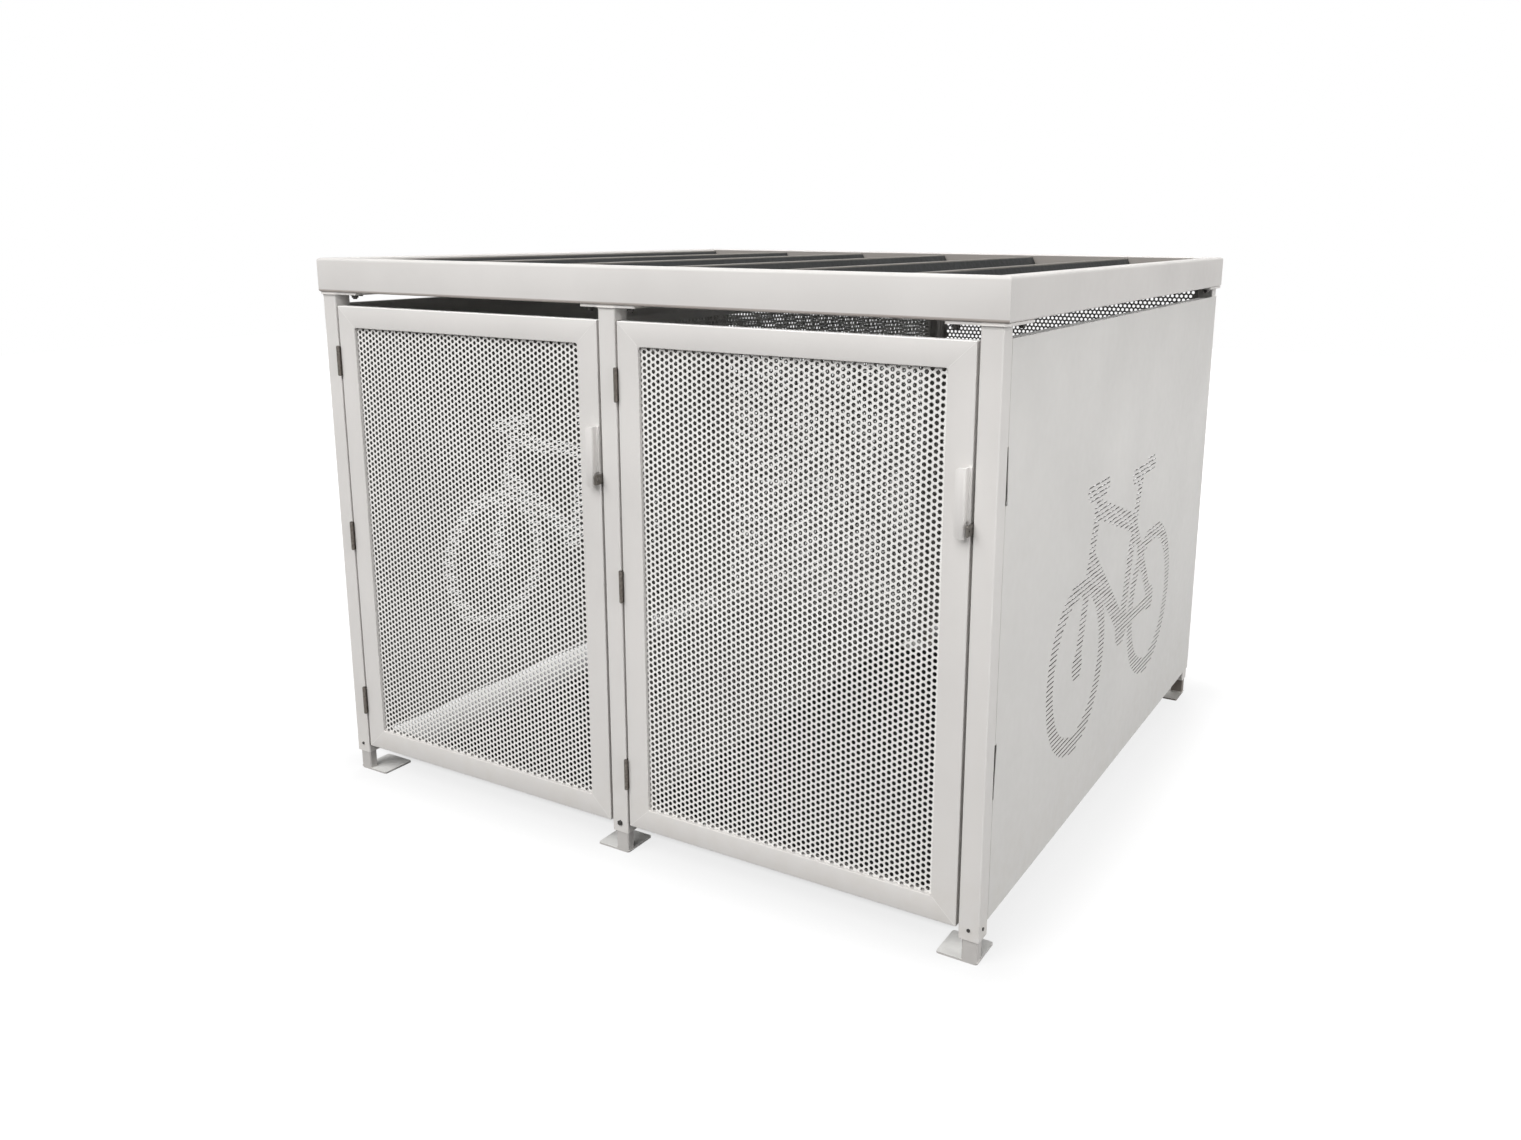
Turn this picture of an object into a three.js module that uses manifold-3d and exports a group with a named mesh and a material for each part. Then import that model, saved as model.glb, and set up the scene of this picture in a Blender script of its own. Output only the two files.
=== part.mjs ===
// Bicycle locker for two bicycles: a steel frame on six adjustable feet, a rim of mitred box rails
// round a sunken roof of ribbed sheet, folded side panels, perforated back panels, a perforated divider
// and two perforated doors on butt hinges, each with a bent pull and a padlock staple.
// Millimetres, +Z up. The doors face -Y. The origin is on the ground under the middle of the part.

import * as THREE from 'three';
import { mergeVertices } from 'three/addons/utils/BufferGeometryUtils.js';
import Module from 'manifold-3d';

const wasm = await Module();
wasm.setup();

// Overall sizes and fits
const roofWidth = 2025;
const roofDepth = 1930;
const rimBottomZ = 1420;
const seatGap = 0.3;
const cutOverrun = 10;

// Roof rim, a box section with a soft upper outer edge
const rimHeight = 92;
const rimWidth = 40;
const rimWall = 3;
const rimTopRadius = 8;
const rimBottomRadius = 5;
const rimArcSteps = 4;

// Ribbed roof sheet and the angles that carry its ends
const sheetThickness = 1.2;
const roofDrop = 7;
const ribHeight = 38;
const ribCrestWidth = 11;
const ribBaseWidth = 46;
const ribPitch = 335;
const ribOffset = 33;
const ribCount = 5;
const roofEdgeGap = 1;
const bearerLeg = 30;
const bearerThickness = 3;
const bearerBend = 3;

// Square posts with their top plates
const postSize = 50;
const postWall = 3;
const postRadius = 4;
const postArcSteps = 3;
const postInsetX = 12;
const postInsetY = 3;
const topPlateThickness = 6;
const topPlateReach = 142;
const topPlateEdgeInset = 0.5;
const topPlateFrontInset = 5;
const topPlateRadius = 5;
const middlePlateWidth = 165;

// Feet: a leg that slides in the post, on a base plate
const footPlateSize = 100;
const footPlateThickness = 5;
const footPlateRadius = 6;
const legShown = 52.5;
const legInsert = 110;
const legWidth = 38;
const legDepth = 25;
const legWall = 2.5;
const legClearance = 0.5;
const legStopThickness = 4;
const legStopDrainRadius = 6;

// Set screws that clamp the legs
const screwRise = 25.5;
const screwRadius = 4;
const screwHeadRadius = 4.6;
const screwHeadHeight = 2;
const middleScrewHeadRadius = 7.5;
const middleScrewHeadHeight = 4;
const screwSideInset = 22;
const screwHoleClearance = 0.3;
const boltSides = 8;
const hexSides = 6;

// Folded panels
const panelThickness = 2;
const panelFlange = 25;
const panelTopGap = 27;
const panelBottomGap = 34.5;
const dividerFlange = 20;
const seamSlotWidth = 3;
const upperSeamSlotDrop = 221;
const upperSeamSlotLength = 125;
const lowerSeamSlotRise = 288;
const lowerSeamSlotLength = 130;

// Doors: a welded ring of box section with a sunken perforated infill
const doorThickness = 30;
const doorGap = 6;
const doorTopGap = 31;
const doorBottomGap = 24.5;
const stileWidth = 62;
const railWidth = 58;
const doorWall = 2.5;
const doorOpeningRadius = 6;
const doorVentRadius = 4;
const doorVentInset = 90;
const infillThickness = 2;
const infillRecess = 9;

// Perforated sheets, cut as a plain grid of larger openings with the same open area
const gridOpenShare = 0.635;
const doorGridColumns = 9;
const doorGridRows = 12;
const backGridColumns = 10;
const backGridRows = 13;
const dividerGridColumns = 12;
const dividerGridRows = 9;

// Angle behind the lock stile that the closed door rests against
const stopLeg = 25;
const stopThickness = 3;
const stopBend = 3;
const stopRun = 0.6;
const stopEndInset = 20;

// Butt hinges with a knuckle in front of the gap
const hingeHeight = 80;
const hingeOuterKnuckle = 16.4;
const hingeKnuckleRadius = 5;
const hingeBoreRadius = 3.3;
const hingePinRadius = 3;
const hingePinHeadRadius = 4.2;
const hingePinHeadHeight = 1.6;
const hingeLeafThickness = 2.3;
const hingeLeafDepth = 30;
const hingeStandOff = 6;
const hingeRunClearance = 0.35;
const hingeLowInset = 145;
const hingeHighInset = 151;
const knuckleSides = 16;

// Bent pull on the lock stile
const pullRise = 894;
const pullHeight = 150;
const pullThickness = 3;
const pullProud = 22;
const pullLip = 24;
const pullFlange = 8.5;
const pullBend = 2;
const pullCornerRadius = 12;
const pullCutHeight = 36;

// Padlock staple on the lock post
const stapleHeight = 25;
const stapleThickness = 3;
const stapleProud = 30;
const stapleBack = 24;
const stapleRise = 8;
const stapleHoleRadius = 4.5;
const stapleHoleProud = 17;
const stapleRadius = 4;
const stapleHoleSides = 16;

// Places that follow from the sizes
const rimFrontY = -roofDepth / 2;
const postOuterX = roofWidth / 2 - postInsetX;
const postFrontY = rimFrontY + postInsetY;
const postBackY = postFrontY + postSize;
const postTopZ = rimBottomZ - seatGap - topPlateThickness;
const postBottomZ = footPlateThickness + legShown;
const rearPostOuterX = postOuterX - panelThickness - seatGap;
const doorTopZ = postTopZ - doorTopGap;
const doorBottomZ = postBottomZ + doorBottomGap;
const doorWidth = postOuterX - postSize - postSize / 2 - 2 * doorGap;
const panelTopZ = postTopZ - panelTopGap;
const panelBottomZ = postBottomZ + panelBottomGap;
const screwZ = postBottomZ + screwRise;
const hingeAxisY = postFrontY - hingeStandOff;
const frontOverhang = stapleProud - postInsetY;

const coatColour = 0xd6d4d1;
const roofColour = 0x5a5a5a;
const steelColour = 0x77736f;

const coat = () => new THREE.MeshStandardMaterial({ color: coatColour, roughness: 0.5, metalness: 0.1 });
const roofCoat = () => new THREE.MeshStandardMaterial({ color: roofColour, roughness: 0.6, metalness: 0.2 });
const steel = () => new THREE.MeshStandardMaterial({ color: steelColour, roughness: 0.45, metalness: 0.8 });

// Solids

function solidOf(geometry) {
  const bare = geometry.index ? geometry.toNonIndexed() : geometry.clone();
  bare.deleteAttribute('normal');
  bare.deleteAttribute('uv');
  const merged = mergeVertices(bare);
  return new wasm.Manifold(new wasm.Mesh({
    numProp: 3,
    vertProperties: merged.attributes.position.array,
    triVerts: Uint32Array.from(merged.index.array),
  }));
}

function geometryOf(solid) {
  const mesh = solid.getMesh();
  const geometry = new THREE.BufferGeometry();
  geometry.setAttribute('position', new THREE.BufferAttribute(mesh.vertProperties, 3));
  geometry.setIndex(new THREE.BufferAttribute(mesh.triVerts, 1));
  geometry.computeVertexNormals();
  return geometry;
}

function block(x0, x1, y0, y1, z0, z1) {
  const box = new THREE.BoxGeometry(x1 - x0, y1 - y0, z1 - z0);
  box.translate((x0 + x1) / 2, (y0 + y1) / 2, (z0 + z1) / 2);
  return solidOf(box);
}

// A shape drawn in X and Y, run from z0 to z1
function alongZ(shape, z0, z1) {
  const run = new THREE.ExtrudeGeometry(shape, { depth: z1 - z0, bevelEnabled: false });
  run.translate(0, 0, z0);
  return solidOf(run);
}

// A shape drawn in Y and Z, run from x0 to x1
function alongX(shape, x0, x1) {
  const run = new THREE.ExtrudeGeometry(shape, { depth: x1 - x0, bevelEnabled: false });
  const turn = new THREE.Matrix4().makeBasis(
    new THREE.Vector3(0, 1, 0),
    new THREE.Vector3(0, 0, 1),
    new THREE.Vector3(1, 0, 0),
  );
  run.applyMatrix4(turn);
  run.translate(x0, 0, 0);
  return solidOf(run);
}

// A shape drawn in X and Z, run from y0 to y1
function alongY(shape, y0, y1) {
  const run = new THREE.ExtrudeGeometry(shape, { depth: y1 - y0, bevelEnabled: false });
  run.rotateX(Math.PI / 2);
  run.translate(0, y1, 0);
  return solidOf(run);
}

function rod(radius, z0, z1, sides) {
  const cylinder = new THREE.CylinderGeometry(radius, radius, z1 - z0, sides);
  cylinder.rotateX(Math.PI / 2);
  cylinder.translate(0, 0, (z0 + z1) / 2);
  return cylinder;
}

// A rectangle with a radius at each corner, as points that run anticlockwise from its low right corner
function roundedPoints(x0, x1, y0, y1, radii, steps) {
  const points = [];
  const signs = [[1, -1], [1, 1], [-1, 1], [-1, -1]];
  signs.forEach(([signX, signY], quarter) => {
    const radius = radii[quarter];
    const x = (signX > 0 ? x1 : x0) - signX * radius;
    const y = (signY > 0 ? y1 : y0) - signY * radius;
    const arcSteps = radius > 0 ? steps : 0;
    for (let step = 0; step <= arcSteps; step += 1) {
      const angle = (quarter - 1 + step / Math.max(arcSteps, 1)) * Math.PI / 2;
      points.push(corner(x + radius * Math.cos(angle), y + radius * Math.sin(angle)));
    }
  });
  return points;
}

function roundedShape(x0, x1, y0, y1, radius, steps = postArcSteps) {
  return new THREE.Shape(roundedPoints(x0, x1, y0, y1, Array(4).fill(radius), steps));
}

// The openings of a grid that fills a rectangle, each in the middle of its cell
function gridShapes(u0, u1, v0, v1, columns, rows) {
  const cellU = (u1 - u0) / columns;
  const cellV = (v1 - v0) / rows;
  const halfU = cellU * gridOpenShare / 2;
  const halfV = cellV * gridOpenShare / 2;
  const shapes = [];
  for (let column = 0; column < columns; column += 1) {
    for (let row = 0; row < rows; row += 1) {
      const u = u0 + (column + 1 / 2) * cellU;
      const v = v0 + (row + 1 / 2) * cellV;
      shapes.push(roundedShape(u - halfU, u + halfU, v - halfV, v + halfV, 0));
    }
  }
  return shapes;
}

// The section of a folded sheet, from the corners of its middle line
function foldedShape(corners, thickness, innerRadius, steps = postArcSteps) {
  const left = [];
  const right = [];
  const half = thickness / 2;
  const put = (point, normal) => {
    left.push(point.clone().addScaledVector(normal, half));
    right.unshift(point.clone().addScaledVector(normal, -half));
  };
  const heading = (from, to) => to.clone().sub(from).normalize();
  const across = (way) => new THREE.Vector2(-way.y, way.x);
  const origin = new THREE.Vector2(0, 0);
  const last = corners.length - 1;
  put(corners[0], across(heading(corners[0], corners[1])));
  for (let i = 1; i < last; i += 1) {
    const before = heading(corners[i - 1], corners[i]);
    const after = heading(corners[i], corners[i + 1]);
    const turn = Math.atan2(before.cross(after), before.dot(after));
    const radius = innerRadius + half;
    const start = corners[i].clone().addScaledVector(before, -radius * Math.tan(Math.abs(turn) / 2));
    const normal = across(before);
    const centre = start.clone().addScaledVector(normal, Math.sign(turn) * radius);
    for (let step = 0; step <= steps; step += 1) {
      const angle = turn * step / steps;
      put(start.clone().rotateAround(centre, angle), normal.clone().rotateAround(origin, angle));
    }
  }
  put(corners[last], across(heading(corners[last - 1], corners[last])));
  return new THREE.Shape([...left, ...right]);
}

function corner(x, y) {
  return new THREE.Vector2(x, y);
}

function piece(name, solid, material) {
  const mesh = new THREE.Mesh(geometryOf(solid), material);
  mesh.name = name;
  return mesh;
}

// Roof rim. The section lies in Y and Z with its outer face at y = 0 and runs along X.
// Both ends are mitred: what lies further in ends that much sooner.
function rimRail(name, length) {
  const radii = [rimBottomRadius, rimBottomRadius, rimTopRadius, rimBottomRadius];
  const section = new THREE.Shape(roundedPoints(0, rimWidth, 0, rimHeight, radii, rimArcSteps));
  const low = rimWall;
  const innerRadii = radii.map((radius) => radius / 2);
  const hollow = roundedPoints(low, rimWidth - low, low, rimHeight - low, innerRadii, 1);
  section.holes.push(new THREE.Path(hollow.reverse()));
  const run = new THREE.ExtrudeGeometry(section, { depth: 1, bevelEnabled: false });
  const place = run.attributes.position;
  for (let i = 0; i < place.count; i += 1) {
    const inward = place.getX(i);
    const height = place.getY(i);
    const half = length / 2 - inward - seatGap / 2;
    place.setXYZ(i, (2 * place.getZ(i) - 1) * half, inward, height);
  }
  return piece(name, solidOf(run), coat());
}

function buildRim() {
  const rim = new THREE.Group();
  const rails = [
    ['roof_rail_front', roofWidth, 0, 0, rimFrontY],
    ['roof_rail_right', roofDepth, Math.PI / 2, roofWidth / 2, 0],
    ['roof_rail_back', roofWidth, Math.PI, 0, -rimFrontY],
    ['roof_rail_left', roofDepth, -Math.PI / 2, -roofWidth / 2, 0],
  ];
  rails.forEach(([name, length, turn, x, y]) => {
    const rail = rimRail(name, length);
    rail.rotation.z = turn;
    rail.position.set(x, y, rimBottomZ);
    rim.add(rail);
  });
  return rim;
}

// Roof sheet: flat pans with ribs that run from front to back, and an angle under each end
function buildRoof() {
  const roof = new THREE.Group();
  const halfWidth = roofWidth / 2 - rimWidth - roofEdgeGap;
  const halfDepth = roofDepth / 2 - rimWidth - roofEdgeGap;
  const crestZ = rimBottomZ + rimHeight - roofDrop - sheetThickness / 2;
  const panZ = crestZ - ribHeight;
  const line = [corner(-halfWidth, panZ)];
  for (let rib = 0; rib < ribCount; rib += 1) {
    const x = ribOffset + (rib - (ribCount - 1) / 2) * ribPitch;
    line.push(corner(x - ribBaseWidth / 2, panZ));
    line.push(corner(x - ribCrestWidth / 2, crestZ));
    line.push(corner(x + ribCrestWidth / 2, crestZ));
    line.push(corner(x + ribBaseWidth / 2, panZ));
  }
  line.push(corner(halfWidth, panZ));
  const sheet = alongY(foldedShape(line, sheetThickness, sheetThickness, 1), -halfDepth, halfDepth);
  roof.add(piece('roof_sheet', sheet, roofCoat()));

  const bearerTopZ = panZ - sheetThickness / 2 - seatGap;
  const wallY = rimFrontY + rimWidth + seatGap;
  const mid = bearerThickness / 2;
  const section = foldedShape([
    corner(wallY + mid, bearerTopZ - bearerLeg),
    corner(wallY + mid, bearerTopZ - mid),
    corner(wallY + bearerLeg, bearerTopZ - mid),
  ], bearerThickness, bearerBend);
  const bearer = alongX(section, -halfWidth, halfWidth);
  roof.add(piece('roof_bearer_front', bearer, roofCoat()));
  const back = piece('roof_bearer_back', bearer, roofCoat());
  back.rotation.z = Math.PI;
  roof.add(back);
  return roof;
}

// One post with its top plate, its foot and its set screws. It is drawn as a front post with its
// centre line at x = 0 and its front face at y = 0, and a rear one is its mirror image in Y.
// plate and base give the sides, in X, that the top plate and the foot plate reach to.
function postSolid(plate, plateDepth, sideScrew, mirror) {
  const half = postSize / 2;
  const inner = half - postWall;
  const tube = roundedShape(-half, half, 0, postSize, postRadius);
  let solid = alongZ(tube, postBottomZ, postTopZ);
  const hollow = roundedShape(-inner, inner, postWall, postSize - postWall, postRadius / 2, 1);
  const stopZ = postBottomZ + legInsert + seatGap;
  solid = solid.subtract(alongZ(hollow, postBottomZ - cutOverrun, stopZ));
  solid = solid.subtract(alongZ(hollow, stopZ + legStopThickness, postTopZ - postWall));
  const drain = rod(legStopDrainRadius, stopZ - cutOverrun, stopZ + cutOverrun, boltSides);
  drain.translate(0, half, 0);
  solid = solid.subtract(solidOf(drain));
  const plateShape = roundedShape(plate[0], plate[1], plateDepth[0], plateDepth[1], topPlateRadius);
  solid = solid.add(alongZ(plateShape, postTopZ, postTopZ + topPlateThickness));
  solid = solid.add(alongZ(tube, postTopZ - postWall, postTopZ + postWall));
  const holeRadius = screwRadius + screwHoleClearance;
  const frontHole = rod(holeRadius, -cutOverrun, postWall + seatGap, boltSides);
  frontHole.rotateX(-Math.PI / 2);
  frontHole.translate(0, 0, screwZ);
  solid = solid.subtract(solidOf(frontHole));
  if (sideScrew) {
    const sideHole = rod(holeRadius, half - postWall - seatGap, half + cutOverrun, boltSides);
    sideHole.rotateY(Math.PI / 2);
    sideHole.translate(0, screwSideInset, screwZ);
    solid = solid.subtract(solidOf(sideHole));
  }
  return mirror ? solid.mirror([0, 1, 0]) : solid;
}

function footSolid(base, mirror) {
  const legRight = postSize / 2 - postWall - legClearance;
  const legLeft = legRight - legWidth;
  const legFront = postWall + legClearance;
  const legBack = legFront + legDepth;
  const plateLeft = base > 0 ? legLeft : legRight - footPlateSize;
  const plate = roundedShape(
    plateLeft,
    plateLeft + footPlateSize,
    legFront,
    legFront + footPlateSize,
    footPlateRadius,
  );
  let solid = alongZ(plate, 0, footPlateThickness);
  const legTop = postBottomZ + legInsert;
  const outline = roundedShape(legLeft, legRight, legFront, legBack, legWall, 1);
  solid = solid.add(alongZ(outline, footPlateThickness / 2, legTop));
  const hollow = roundedShape(
    legLeft + legWall,
    legRight - legWall,
    legFront + legWall,
    legBack - legWall,
    legWall / 2,
    1,
  );
  solid = solid.subtract(alongZ(hollow, footPlateThickness, legTop + cutOverrun));
  return mirror ? solid.mirror([0, 1, 0]) : solid;
}

// A set screw along +Y from its head at y = 0 to the leg
function screwSolid(headRadius, headHeight, mirror) {
  const shank = rod(screwRadius, -headHeight / 2, postWall + legClearance - seatGap, boltSides);
  const head = rod(headRadius, -headHeight, -seatGap, hexSides);
  const solid = solidOf(shank).add(solidOf(head));
  const turned = solid.rotate([-90, 0, 0]);
  return mirror ? turned.mirror([0, 1, 0]) : turned;
}

function buildPost(place, x, y, options) {
  const { rear, plate, plateDepth, base, headRadius, headHeight, sideScrew } = options;
  const group = new THREE.Group();
  group.position.set(x, y, 0);
  group.add(piece(`post_${place}`, postSolid(plate, plateDepth, sideScrew, rear), coat()));
  group.add(piece(`foot_${place}`, footSolid(base, rear), coat()));
  const screw = piece(`foot_screw_${place}`, screwSolid(headRadius, headHeight, rear), steel());
  screw.position.z = screwZ;
  group.add(screw);
  if (sideScrew) {
    const side = piece(`foot_side_screw_${place}`, screwSolid(headRadius, headHeight, false), steel());
    side.rotation.z = Math.PI / 2;
    side.position.set(postSize / 2, screwSideInset, screwZ);
    group.add(side);
  }
  return group;
}

function buildPosts() {
  const posts = new THREE.Group();
  const half = postSize / 2;
  const small = { headRadius: screwHeadRadius, headHeight: screwHeadHeight };
  const large = { headRadius: middleScrewHeadRadius, headHeight: middleScrewHeadHeight };
  const depth = [topPlateFrontInset - postInsetY, topPlateReach + topPlateFrontInset - postInsetY];
  [false, true].forEach((rear) => {
    const end = rear ? 'rear' : 'front';
    const y = rear ? -postFrontY : postFrontY;
    const centre = (rear ? rearPostOuterX : postOuterX) - half;
    const outerEdge = roofWidth / 2 - topPlateEdgeInset - centre;
    const inner = outerEdge - topPlateReach;
    posts.add(buildPost(`${end}_left`, -centre, y, {
      rear, plate: [-outerEdge, -inner], plateDepth: depth, base: 1, ...small,
    }));
    posts.add(buildPost(`${end}_middle`, 0, y, {
      rear, plate: [-middlePlateWidth / 2, middlePlateWidth / 2], plateDepth: depth, base: -1, ...large,
    }));
    posts.add(buildPost(`${end}_right`, centre, y, {
      rear, plate: [inner, outerEdge], plateDepth: depth, base: -1, sideScrew: !rear, ...small,
    }));
  });
  return posts;
}

// Side panel for the +X side. Its face is flush with the front post, and covers the rear post's side.
function sidePanelSolid() {
  const outer = postOuterX;
  const inner = outer - panelThickness;
  const flangeEnd = outer - panelFlange;
  const front = postBackY + seatGap;
  const rear = -postFrontY;
  const flangeRear = -postBackY - seatGap;
  let solid = block(inner, outer, front, rear, panelBottomZ, panelTopZ);
  solid = solid.add(block(flangeEnd, outer, front, front + panelThickness, panelBottomZ, panelTopZ));
  solid = solid.add(block(flangeEnd, outer, front, flangeRear, panelTopZ - panelThickness, panelTopZ));
  solid = solid.add(block(flangeEnd, outer, front, flangeRear, panelBottomZ, panelBottomZ + panelThickness));
  const slots = [
    [panelTopZ - upperSeamSlotDrop - upperSeamSlotLength, panelTopZ - upperSeamSlotDrop],
    [panelBottomZ + lowerSeamSlotRise + lowerSeamSlotLength, panelBottomZ + lowerSeamSlotRise],
  ];
  slots.forEach(([wideZ, narrowZ]) => {
    const wedge = new THREE.Shape([
      corner(front - cutOverrun, narrowZ),
      corner(front, narrowZ),
      corner(front + seamSlotWidth, wideZ),
      corner(front - cutOverrun, wideZ),
    ]);
    solid = solid.subtract(alongX(wedge, flangeEnd - cutOverrun, outer + cutOverrun));
  });
  return solid;
}

// Perforated back panel between a corner post and the middle post
function backPanelSolid(x0, x1) {
  const outer = -postFrontY;
  const face = outer - panelThickness;
  const flangeEnd = outer - panelFlange;
  const frameRing = block(x0, x1, flangeEnd, outer, panelBottomZ, panelTopZ);
  const inside = block(
    x0 + panelThickness,
    x1 - panelThickness,
    flangeEnd - cutOverrun,
    face,
    panelBottomZ + panelThickness,
    panelTopZ - panelThickness,
  );
  const grid = gridShapes(
    x0 + panelThickness,
    x1 - panelThickness,
    panelBottomZ + panelThickness,
    panelTopZ - panelThickness,
    backGridColumns,
    backGridRows,
  );
  const openings = alongY(grid, face - cutOverrun, outer + cutOverrun);
  return frameRing.subtract(inside).subtract(openings);
}

// Divider between the bays, folded at both ends to lie on the middle posts
function dividerSolid() {
  const front = postBackY + seatGap + panelThickness / 2;
  const section = foldedShape([
    corner(dividerFlange, front),
    corner(0, front),
    corner(0, -front),
    corner(dividerFlange, -front),
  ], panelThickness, panelThickness);
  const grid = gridShapes(front, -front, panelBottomZ, panelTopZ, dividerGridColumns, dividerGridRows);
  const openings = alongX(grid, -cutOverrun, cutOverrun);
  return alongZ(section, panelBottomZ, panelTopZ).subtract(openings);
}

function buildPanels() {
  const panels = new THREE.Group();
  const side = sidePanelSolid();
  panels.add(piece('side_panel_right', side, coat()));
  panels.add(piece('side_panel_left', side.mirror([1, 0, 0]), coat()));
  const outerEdge = rearPostOuterX - postSize - seatGap;
  const innerEdge = postSize / 2 + seatGap;
  panels.add(piece('back_panel_right', backPanelSolid(innerEdge, outerEdge), coat()));
  panels.add(piece('back_panel_left', backPanelSolid(-outerEdge, -innerEdge), coat()));
  panels.add(piece('divider_panel', dividerSolid(), coat()));
  return panels;
}

// A door hangs from its left edge. Its group stands on the hinge axis: x = 0 is the middle of the
// hinge gap, and y = 0 is the axis, so the door's face lies at hingeStandOff.
const doorLeftX = doorGap / 2;
const doorRightX = doorLeftX + doorWidth;
const doorFaceY = hingeStandOff;

function doorFrameSolid() {
  const back = doorFaceY + doorThickness;
  const opening = roundedShape(
    doorLeftX + stileWidth,
    doorRightX - stileWidth,
    doorBottomZ + railWidth,
    doorTopZ - railWidth,
    doorOpeningRadius,
  );
  let solid = block(doorLeftX, doorRightX, doorFaceY, back, doorBottomZ, doorTopZ);
  solid = solid.subtract(alongY(opening, doorFaceY - cutOverrun, back + cutOverrun));
  const ring = block(
    doorLeftX + doorWall,
    doorRightX - doorWall,
    doorFaceY + doorWall,
    back - doorWall,
    doorBottomZ + doorWall,
    doorTopZ - doorWall,
  );
  const core = block(
    doorLeftX + stileWidth - doorWall,
    doorRightX - stileWidth + doorWall,
    doorFaceY,
    back,
    doorBottomZ + railWidth - doorWall,
    doorTopZ - railWidth + doorWall,
  );
  solid = solid.subtract(ring.subtract(core));
  [doorLeftX + doorVentInset, doorRightX - doorVentInset].forEach((x) => {
    const vent = rod(doorVentRadius, doorBottomZ - cutOverrun, doorBottomZ + cutOverrun, boltSides);
    vent.translate(x, doorFaceY + doorThickness / 2, 0);
    solid = solid.subtract(solidOf(vent));
  });
  return solid;
}

function infillSolid() {
  const y = doorFaceY + infillRecess;
  const back = y + infillThickness;
  const edges = [
    doorLeftX + stileWidth + seatGap,
    doorRightX - stileWidth - seatGap,
    doorBottomZ + railWidth + seatGap,
    doorTopZ - railWidth - seatGap,
  ];
  const sheet = alongY(roundedShape(...edges, doorOpeningRadius), y, back);
  const grid = gridShapes(...edges, doorGridColumns, doorGridRows);
  return sheet.subtract(alongY(grid, y - cutOverrun, back + cutOverrun));
}

// Flange on the door's face at its lock edge, web out to the front, and lip back over the door
function pullSolid() {
  const faceY = doorFaceY - seatGap;
  const mid = pullThickness / 2;
  const webX = doorRightX - pullFlange + mid;
  const lipY = doorFaceY - pullProud + mid;
  const lipEnd = doorRightX - pullFlange - pullLip + pullThickness;
  const section = foldedShape([
    corner(doorRightX, faceY - mid),
    corner(webX, faceY - mid),
    corner(webX, lipY),
    corner(lipEnd, lipY),
  ], pullThickness, pullBend);
  const z0 = doorBottomZ + pullRise;
  const z1 = z0 + pullHeight;
  const lipInner = doorRightX - pullFlange - pullBend;
  const radii = [0, 0, pullCornerRadius, pullCornerRadius];
  const [, ...plain] = roundedPoints(lipEnd, doorRightX, z0, z1, radii, postArcSteps);
  const outline = new THREE.Shape([
    corner(lipInner, z0),
    corner(lipInner, z0 + pullCutHeight),
    corner(doorRightX, z0 + pullCutHeight),
    ...plain,
  ]);
  const strip = alongZ(section, z0, z1);
  return strip.intersect(alongY(outline, lipY - cutOverrun, doorFaceY));
}

// Staple plate in the lock gap, against the post, with the padlock hole in front of the post's face
function stapleSolid() {
  const x1 = doorRightX + doorGap - seatGap;
  const x0 = x1 - stapleThickness;
  const z0 = doorBottomZ + pullRise + stapleRise;
  const z1 = z0 + stapleHeight;
  const outline = roundedShape(doorFaceY - stapleProud, doorFaceY + stapleBack, z0, z1, stapleRadius);
  const hole = rod(stapleHoleRadius, x0 - cutOverrun, x1 + cutOverrun, stapleHoleSides);
  hole.rotateY(Math.PI / 2);
  hole.translate(0, doorFaceY - stapleHoleProud, (z0 + z1) / 2);
  return alongX(outline, x0, x1).subtract(solidOf(hole));
}

// Angle on the lock post, just behind the closed door
function stopSolid() {
  const postX = doorRightX + doorGap - seatGap;
  const frontY = doorFaceY + doorThickness + stopRun;
  const mid = stopThickness / 2;
  const section = foldedShape([
    corner(postX - mid, frontY + stopLeg),
    corner(postX - mid, frontY + mid),
    corner(postX - stopLeg, frontY + mid),
  ], stopThickness, stopBend);
  return alongZ(section, doorBottomZ + stopEndInset, doorTopZ - stopEndInset);
}

// Hinge leaves, drawn round the axis with the middle of the hinge at z = 0
function hingeLeaf(side) {
  const half = hingeHeight / 2;
  const middle = half - hingeOuterKnuckle;
  const outerX = doorGap / 2 - seatGap;
  const innerX = outerX - hingeLeafThickness;
  const wallMiddle = (hingeKnuckleRadius + hingeBoreRadius) / 2;
  const backY = doorFaceY + hingeLeafDepth;
  const spans = side < 0 ? [[-half, -middle], [middle, half]] : [[-middle, middle]];
  const freeSpans = side < 0 ? [[-middle, middle]] : [[-half, -middle], [middle, half]];
  const edges = [side * innerX, side * outerX].sort((a, b) => a - b);
  let solid = block(edges[0], edges[1], wallMiddle, backY, -half, half);
  spans.forEach(([z0, z1]) => {
    solid = solid.add(solidOf(rod(hingeKnuckleRadius, z0, z1, knuckleSides)));
  });
  freeSpans.forEach(([z0, z1]) => {
    const low = z0 === -half ? z0 - cutOverrun : z0 - hingeRunClearance;
    const high = z1 === half ? z1 + cutOverrun : z1 + hingeRunClearance;
    solid = solid.subtract(solidOf(rod(hingeKnuckleRadius + hingeRunClearance, low, high, knuckleSides)));
  });
  return solid.subtract(solidOf(rod(hingeBoreRadius, -half - cutOverrun, half + cutOverrun, knuckleSides)));
}

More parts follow.
